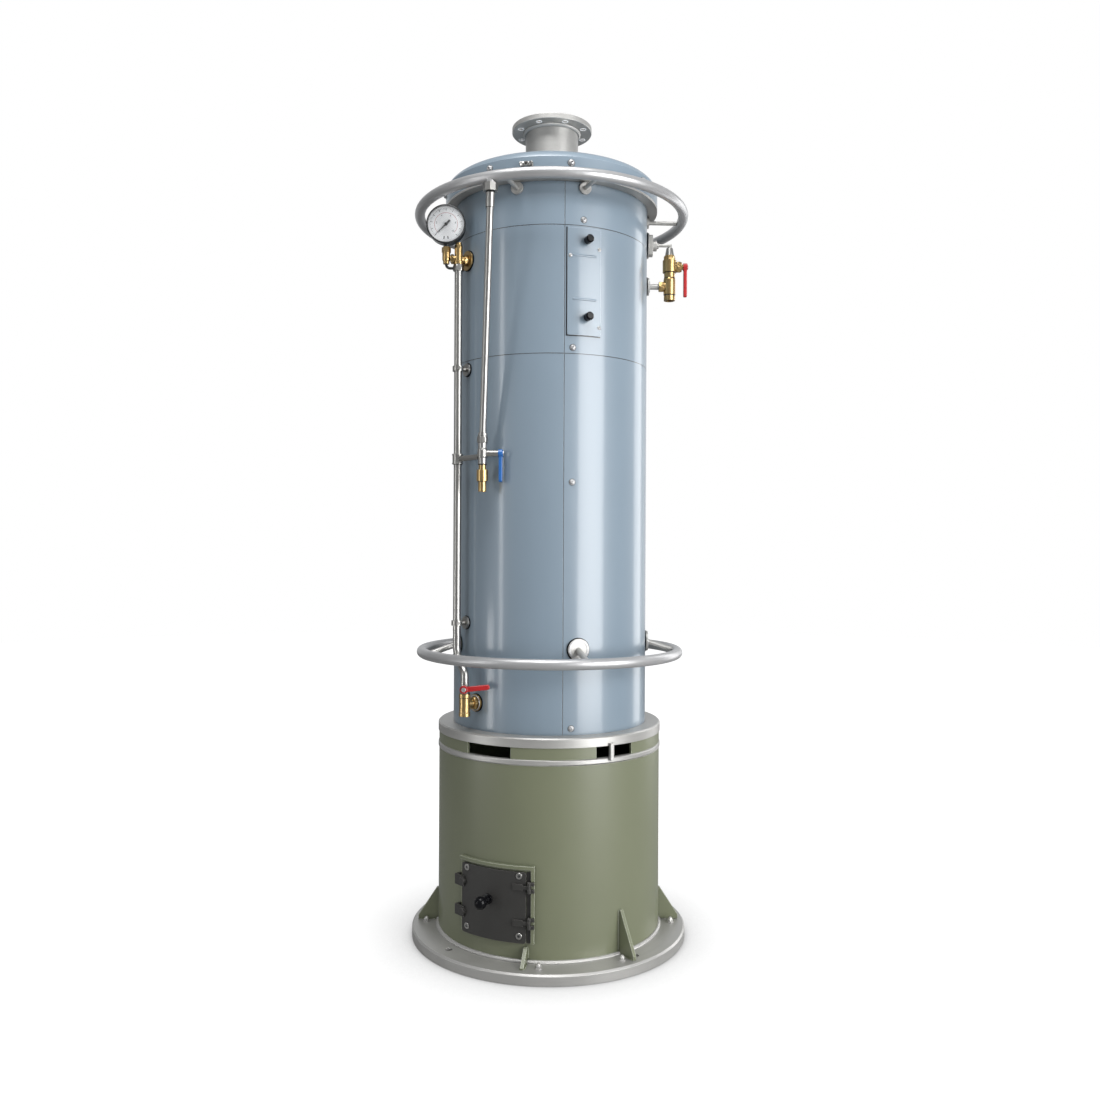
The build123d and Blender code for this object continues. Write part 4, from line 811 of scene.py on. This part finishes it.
def add_hexagons():
    """Hexagons and collars of the brass and the steel fittings, at places along each pipe."""
    brass_rows = [
        (bearing(standpipe_bearing, 245.5 * MM, cross_point[2]), bearing(standpipe_bearing, 1.0), 13.0, 9.0),
        (cross_point + 24.5 * MM * upward, upward, 9.4, 9.0),
        (cross_point + 11.0 * MM * leftward, leftward, 11.6, 7.0),
        (bearing(drain_bearing, 245.2 * MM, drain_point[2]), bearing(drain_bearing, 1.0), 15.6, 8.9),
        (side_tee_point - 26.5 * MM * rightward, rightward, 13.8, 12.0),
        (side_valve_point + 18.5 * MM * rightward, rightward, 14.8, 9.0),
        (side_valve_point + 17.5 * MM * upward, upward, 14.9, 9.5),
    ]
    make_piece("brass_hexagons", joined(*hexagons(brass_rows)), "brass")
    foot, _, rise = downpipe_line()
    steel_rows = [
        (cross_point - 28.8 * MM * upward, upward, 13.2, 14.4),
        (foot + 1.0 * MM * rise, rise, 12.7, 14.0),
        (drain_point + 24.5 * MM * upward, upward, 12.4, 5.0),
    ]
    shapes = hexagons(steel_rows)
    out = bearing(14, 1.0)
    for height in clamp_rises:
        clamp = bearing(standpipe_bearing, standpipe_reach, body_bottom + height * MM) + 12.6 * MM * out
        shapes.append(placed(hex_nut(4.6 * MM, 4.5 * MM), [spot(clamp, out)]))
    boss = bearing(side_bearing, 265 * MM, side_bracket_height)
    shapes.append(placed(hex_nut(7.5 * MM, 5.0 * MM), [spot(boss, rightward)]))
    collar = slim_ring(9 * MM, 13.2 * MM, 3.0 * MM)
    for shift in (9.0, -12.0):
        shapes.append(placed(collar, [spot(link_point + shift * MM * upward, upward)]))
    make_piece("steel_hexagons", joined(*shapes), "polished_steel")


def add_grooves():
    """Painted shade in the grooves where one fitting ends and the next begins, as dark rings: rows of origin,
    direction, radius and height, the last two in millimetres."""
    foot, head, rise = downpipe_line()
    lever_valve = foot - 24 * MM * upward
    groove_shadows = [
        (head - 0.4 * MM * rise, -rise, 10.4, 1.4),
        (head - 32.4 * MM * rise, -rise, 10.0, 1.4),
        (foot + 16.5 * MM * rise, rise, 11.0, 1.0),
        (lever_valve + 23.4 * MM * upward, upward, 11.1, 1.2),
        (lever_valve - 24.6 * MM * upward, -upward, 10.5, 2.4),
        (lever_valve - 64.0 * MM * upward, -upward, 10.3, 1.3),
        (drain_point + 14.4 * MM * upward, upward, 12.9, 1.0),
        (drain_point - 19.6 * MM * upward, upward, 12.9, 1.0),
        (side_valve_point - 14.2 * MM * upward, -upward, 14.2, 1.4),
        (side_tee_point + 21.6 * MM * upward, upward, 14.0, 1.4),
        (side_tee_point - 22.6 * MM * upward, upward, 13.9, 2.2),
        (link_point - 13.4 * MM * upward, upward, 10.2, 1.2),
        (cross_point - 14.3 * MM * upward, upward, 11.8, 1.0),
    ]
    # Dark rings that paint the shade in each groove.
    rings = [placed(slim_ring(6 * MM, r * MM, h * MM), [spot(o, d)]) for o, d, r, h in groove_shadows]
    make_piece("pipe_groove_shadows", joined(*rings), "gauge_black")


def add_pads():
    """Rims on the round pads of the brackets and fittings, and dark discs behind the pads."""
    bracket_pads = [on_wall(a, body_radius + 6 * MM, lower_pad_height) for a in lower_bracket_bearings]
    tee_pad = on_wall(side_bearing, body_radius + 6 * MM, side_tee_height)
    drain_pad = on_wall(drain_bearing, body_radius + 5 * MM, drain_point[2])
    rims = [
        placed(slim_ring(19.5 * MM, 23.5 * MM, 1.4 * MM), bracket_pads),
        placed(slim_ring(7 * MM, 15.5 * MM, 2.0 * MM), [tee_pad]),
        placed(slim_ring(15.6 * MM, 18.4 * MM, 1.4 * MM), [drain_pad]),
    ]
    make_piece("pad_rims", joined(*rims), "ring_steel")
    seats = [(a, lower_pad_height, 27.0) for a in lower_bracket_bearings]
    seats += [
        (side_bearing, side_tee_height, 23.6),
        (side_bearing, side_bracket_height, 33.0),
        (drain_bearing, drain_point[2], 21.6),
        (standpipe_bearing, cross_point[2], 24.6),
    ]
    seats += [(standpipe_bearing, body_bottom + height * MM, 16.6) for height in clamp_rises]
    # Black discs behind the pads and clamps, wider than them, so a dark ring shows round each.
    dark_discs = [
        placed(disc(radius * MM, -1.8 * MM, 1.6 * MM, 48), [on_wall(angle, body_radius, height)])
        for angle, height, radius in seats
    ]
    make_piece("pad_dark_discs", joined(*dark_discs), "knob_plastic")


def add_lever_nuts():
    """Thin nuts that hold the levers on their stems."""
    hub = 9.5 * MM
    for name, height in (("side", 1.9), ("downpipe", 1.9), ("drain", 2.4)):
        low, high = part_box(f"{name}_lever")
        if name == "drain":
            place, way = (low.x + hub, low.y, low.z + hub), (0, -1, 0)
        else:
            place, way = (high.x, (low.y + high.y) / 2, high.z - hub), (1, 0, 0)
        nut = placed(hex_nut(5.8 * MM, height * MM), [spot(place, way)])
        make_piece(f"{name}_lever_nut", nut, "ring_steel", f"{name}_handle")


# Hinge, seams and welds


def add_hinge_pins():
    """Heads of the door's hinge pins, and a dark strip of painted shade in the gap behind the hinge."""
    low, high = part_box("hinge_brackets")
    head = turned(MM * np.array([(0, 0), (3.2, 0), (3.2, 0.9), (2.4, 1.5), (0, 1.6)]), 24)
    knuckles = 24.3 * MM
    pin_bearing, pin_reach = -8.75, 288.15 * MM
    ends = [(low.z + knuckles, 1), (high.z, 1), (low.z, -1), (high.z - knuckles, -1)]
    spots = [spot(bearing(pin_bearing, pin_reach, z), way * upward) for z, way in ends]
    make_piece("hinge_pin_heads", placed(head, spots), "door_black")
    # Painted shade: a dark strip in the gap behind the hinge.
    bearings = np.radians(np.linspace(-10.05, -8.05, 6))
    outline = MM * np.array([(0, 0), (0.3, 0), (0.3, 160), (0, 160)])
    strip = carried(*wall_arc(bearings, 279.35 * MM, 70 * MM), outline, False)
    make_piece("hinge_gap_shade", strip, "door_black")


def add_seams():
    """Sealant in the jacket's seams, and a dark strip round the access panel, partly its gap and partly a
    painted shadow: rings, bars and an arc, just proud of the sheet."""
    ring = seam_ring(body_radius, 1.5 * MM)
    joints = [placed(ring, [spot((0, 0, body_bottom + rise * MM), upward)]) for rise in seam_rises]
    for angle in seam_bearings:
        for low, high in ((0.6, 872.0), (875.0, 1166.0), (1169.0, 1271.0)):
            strip = bar(1.4 * MM, (high - low) * MM, -0.6, 0.12)
            joints.append(placed(strip, [on_wall(angle, body_radius, body_bottom + low * MM)]))
    make_piece("jacket_sealant", joined(*joints), "gauge_black")
    # The strip round the panel: partly its dark gap, partly a painted shadow, wider at the left and the
    # bottom.
    low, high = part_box("access_panel")
    face = body_radius + 3 * MM
    bearings = np.linspace(np.arcsin((low.x - 2.0 * MM) / face), np.arcsin((high.x + 0.4 * MM) / face), 40)
    under, over = -2.2 * MM, high.z - low.z + 0.7 * MM
    outline = [(0, under), (1.2 * MM, under), (1.2 * MM, over), (0, over)]
    gap_and_shadow = carried(*wall_arc(bearings, body_radius - 0.8 * MM, low.z), outline, False)
    make_piece("panel_gap_and_shadow", gap_and_shadow, "gauge_black")


def add_welds():
    """Beads at the skirt's foot, under the flue flange and along both sides of each gusset."""
    foot = ring_weld(skirt_radius + 3.2 * MM, base_top + 3.2 * MM, radians(45), 8.4 * MM, 1.5 * MM)
    make_piece("foot_weld", foot, "bare_steel")
    neck = ring_weld(flue_radius + 3.3 * MM, flue_top - 16.2 * MM, radians(-45), 8.4 * MM, 1.5 * MM)
    make_piece("flange_weld", neck, "bare_steel")
    # Painted highlight: white rings at the flange's holes stand in for their bright edges.
    holes = [
        spot((83.5 * MM * cos(radians(a)), 83.5 * MM * sin(radians(a)), flue_top - 13.1 * MM), -upward)
        for a in np.arange(22.5, 360, 45)
    ]
    make_piece("flange_hole_highlights", placed(slim_ring(5.3 * MM, 8.2 * MM, 0.5 * MM), holes), "dial_white")
    gussets = [(a, 51, 80) for a in gusset_bearings]
    gussets += [(tall_gusset_bearing, 51, 102), (small_gusset_bearing, 45, 36)]
    beads = []
    for angle, reach, rise in gussets:
        out = bearing(angle, 1.0)
        side = bearing(angle + 90, 1.0)
        for way in (1, -1):
            edge = way * 4.6 * MM * side
            level = upward * (base_top + 0.8 * MM) + edge
            low = out * (skirt_radius + 8 * MM) + level
            far = out * (skirt_radius + (reach - 1) * MM) + level
            lean = (way * side + upward) / np.sqrt(2)
            beads.append(line_weld(low, far, way * side, lean, 4.0 * MM, 1.3 * MM))
            wall = out * (skirt_radius + 0.8 * MM) + edge
            foot_end = wall + upward * (base_top + 9 * MM)
            top_end = wall + upward * (base_top + (rise - 1) * MM)
            lean = (way * side + out) / np.sqrt(2)
            beads.append(line_weld(foot_end, top_end, way * side, lean, 4.0 * MM, 1.3 * MM))
    make_piece("gusset_welds", joined(*beads), "sage_paint")


# Gauge face

dial_centre = np.array([(gauge_low.x + gauge_high.x) / 2, 0.0, gauge_high.z - gauge_radius])
dial_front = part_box("gauge_dial")[0].y
dial_radius = gauge_radius - 3.8 * MM
dial_start, dial_sweep = radians(225), radians(270)


def dial_marks(shares, inner, outer, width, lift):
    """Flat bars on the dial: each runs out between two shares of the radius, at a share of the sweep."""
    spots = []
    for share in shares:
        angle = dial_start - dial_sweep * share
        along = np.array([cos(angle), 0.0, sin(angle)])
        across = np.array([-sin(angle), 0.0, cos(angle)])
        origin = dial_centre + along * inner * dial_radius
        origin[1] = dial_front
        spots.append(np.array([origin, across, along, [0.0, -1.0, 0.0]]))
    return placed(bar(width, (outer - inner) * dial_radius, -0.1, lift), spots)


def add_dial_marks():
    """Ticks and a red inner arc: a thin strip carried along a circle's arc."""
    major = dial_marks(np.linspace(0, 1, 11), 0.76, 0.9, 1.1 * MM, 0.12)
    fifths = [share for share in np.linspace(0, 1, 51) if round(share * 50) % 5]
    minor = dial_marks(fifths, 0.83, 0.9, 0.45 * MM, 0.12)
    stops = dial_marks([1.135, 1.198], 0.66, 0.82, 2.2 * MM, 0.15)
    make_piece("dial_ticks", joined(major, minor, stops), "gauge_black")
    angles = dial_start - dial_sweep * np.linspace(0.0, 1.0, 120)
    flat = np.stack([np.cos(angles), np.zeros(120), np.sin(angles)], axis=-1)
    forward = np.tile([0.0, -1.0, 0.0], (120, 1))
    strip = MM * np.array([(-0.35, -0.1), (0.35, -0.1), (0.35, 0.11), (-0.35, 0.11)])
    path = flat * 0.64 * dial_radius + [dial_centre[0], dial_front, dial_centre[2]]
    make_piece("dial_arc", carried(path, flat, forward, strip, False), "red_lever")


def number_shape(number):
    """Points and triangles of a number, as thin raised letters about their own middle."""
    text = bpy.data.curves.new(f"number_{number}", "FONT")
    text.body = str(number)
    text.size = 6.8 * MM
    text.align_x = "CENTER"
    text.align_y = "CENTER"
    text.extrude = 0.06 * MM
    text.resolution_u = 4
    holder = bpy.data.objects.new(f"number_{number}", text)
    bpy.context.scene.collection.objects.link(holder)
    bpy.context.view_layer.update()
    mesh = bpy.data.meshes.new_from_object(holder.evaluated_get(bpy.context.evaluated_depsgraph_get()))
    points = np.empty(len(mesh.vertices) * 3)
    mesh.vertices.foreach_get("co", points)
    mesh.calc_loop_triangles()
    faces = np.empty(len(mesh.loop_triangles) * 3, int)
    mesh.loop_triangles.foreach_get("vertices", faces)
    bpy.data.objects.remove(holder)
    return points.reshape(-1, 3), faces.reshape(-1, 3)


def add_dial_numbers():
    """Even numbers from 0 to 10 round the dial, and the needle's cap."""
    letters = []
    for number in range(0, 11, 2):
        angle = dial_start - dial_sweep * number / 10
        origin = dial_centre + 0.535 * dial_radius * np.array([cos(angle), 0.0, sin(angle)])
        origin[1] = dial_front - 0.05 * MM
        stand = np.array([origin, rightward, upward, [0.0, -1.0, 0.0]])
        letters.append(placed(number_shape(number), [stand]))
    make_piece("dial_numbers", joined(*letters), "gauge_black")
    cap = turned(MM * np.array([(0, 0), (3.4, 0), (3.4, 1.4), (2.4, 2.0), (0, 2.2)]), 32)
    pivot = [dial_centre[0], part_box("gauge_needle")[0].y + 0.2 * MM, dial_centre[2]]
    make_piece("needle_cap", placed(cap, [spot(pivot, (0, -1, 0))]), "gauge_black")


add_jacket_screws()
add_panel_beads()
add_lid_hardware()
add_door_hardware()
add_base_hardware()
add_hexagons()
add_grooves()
add_pads()
add_lever_nuts()
add_hinge_pins()
add_seams()
add_welds()
add_dial_marks()
add_dial_numbers()


# Floor, light and camera


def add_floor():
    """A pale studio floor: a flat disc of rings, finely mottled, with a painted shadow round the boiler."""
    points, faces = turned([(radius, -0.6 * MM) for radius in np.linspace(0.0, 9.0, 13)], 96)
    mesh = bpy.data.meshes.new("studio_floor")
    mesh.from_pydata(points.tolist(), [], faces.tolist())
    finish, tree, shader, place = new_finish("pale_floor")
    mottled = effect(tree, "mottle", Vector=place, Scale=3.0, Depth=0.01)
    seen = node(tree, "ShaderNodeLightPath").outputs["Is Camera Ray"]
    grey = blend_colours(tree, seen, (0.3, 0.3, 0.3, 1.0), (0.12, 0.12, 0.12, 1.0))
    tree.links.new(shaded(tree, grey, mottled["Shade"]), shader.inputs["Base Color"])
    shader.inputs["Roughness"].default_value = 0.8
    # Painted contact shadow: the floor's glow dims where the boiler closes it in.
    near = node(tree, "ShaderNodeAmbientOcclusion", {"Distance": 0.65}, samples=12).outputs["AO"]
    glow_with_painted_shadow = spread(tree, near, 0.37, 0.98, 0.24, 1.0)
    tree.links.new(shaded(tree, (1.0, 1.0, 1.0), glow_with_painted_shadow), shader.inputs["Emission Color"])
    tree.links.new(seen, shader.inputs["Emission Strength"])
    mesh.materials.append(finish)
    floor = bpy.data.objects.new("studio_floor", mesh)
    bpy.context.scene.collection.objects.link(floor)


def add_softbox(name, place, target, width, height, power):
    """A rectangular light that faces a point and isn't itself seen."""
    light = bpy.data.lights.new(name, "AREA")
    light.shape = "RECTANGLE"
    light.size = width
    light.size_y = height
    light.energy = power
    holder = bpy.data.objects.new(name, light)
    bpy.context.scene.collection.objects.link(holder)
    origin, *axes = spot(place, np.subtract(place, target))
    stand = np.eye(4)
    stand[:3] = np.stack([*axes, origin], axis=-1)
    holder.matrix_world = stand.T
    holder.visible_camera = False


def add_studio():
    """Surroundings that look white but light the boiler softly, more from the right, and softboxes."""
    world = bpy.data.worlds.new("studio")
    world.use_nodes = True
    tree = world.node_tree
    tree.nodes.clear()
    direction = node(tree, "ShaderNodeTexCoord").outputs["Generated"]
    parts = node(tree, "ShaderNodeSeparateXYZ", {0: direction})
    side = spread(tree, parts.outputs[0], -0.7, 0.6, 0.28, 0.4)
    level = sums(tree, "ADD", side, spread(tree, parts.outputs[1], 0.6, 0.95, 0.0, 0.4))
    lit = node(tree, "ShaderNodeBackground", {"Color": (0.96, 0.98, 1.0, 1.0), "Strength": level})
    seen = node(tree, "ShaderNodeBackground", {"Color": (1.0, 1.0, 1.0, 1.0), "Strength": 1.0})
    ray = node(tree, "ShaderNodeLightPath").outputs["Is Camera Ray"]
    mixed = node(tree, "ShaderNodeMixShader", {0: ray, 1: lit.outputs[0], 2: seen.outputs[0]})
    node(tree, "ShaderNodeOutputWorld", {"Surface": mixed.outputs[0]})
    bpy.context.scene.world = world
    aim = (0.0, 0.0, 1.05)
    add_softbox("right_front_box", (2.24, -2.11, 1.25), aim, 1.7, 2.5, 116)
    add_softbox("right_rim_box", (2.3, 1.5, 1.3), aim, 0.9, 2.6, 22)
    add_softbox("left_strip", (-2.6, -1.7, 1.35), aim, 0.25, 2.4, 14)
    add_softbox("left_low_strip", (-2.5, -0.9, 0.25), (0.0, 0.0, 0.25), 0.4, 0.8, 6)
    add_softbox("top_box", (-0.2, -1.05, 3.7), (0.0, 0.0, 1.8), 1.6, 1.6, 76)


def add_camera():
    """Level camera in front of the boiler, at the height of the photograph's horizon."""
    image_width = 1100
    focal_px = 1000.0
    horizon_y = 548.0
    camera = bpy.data.cameras.new("camera")
    camera.sensor_width = 36.0
    camera.lens = 36.0 * focal_px / image_width
    camera.shift_y = (horizon_y - image_width / 2) / image_width
    holder = bpy.data.objects.new("camera", camera)
    holder.location = (0.0, -2.522, 0.958)
    holder.rotation_euler = (radians(90), radians(-0.27), 0)
    bpy.context.scene.collection.objects.link(holder)
    bpy.context.scene.camera = holder


add_floor()
add_studio()
add_camera()
bpy.context.scene.view_settings.view_transform = "Standard"
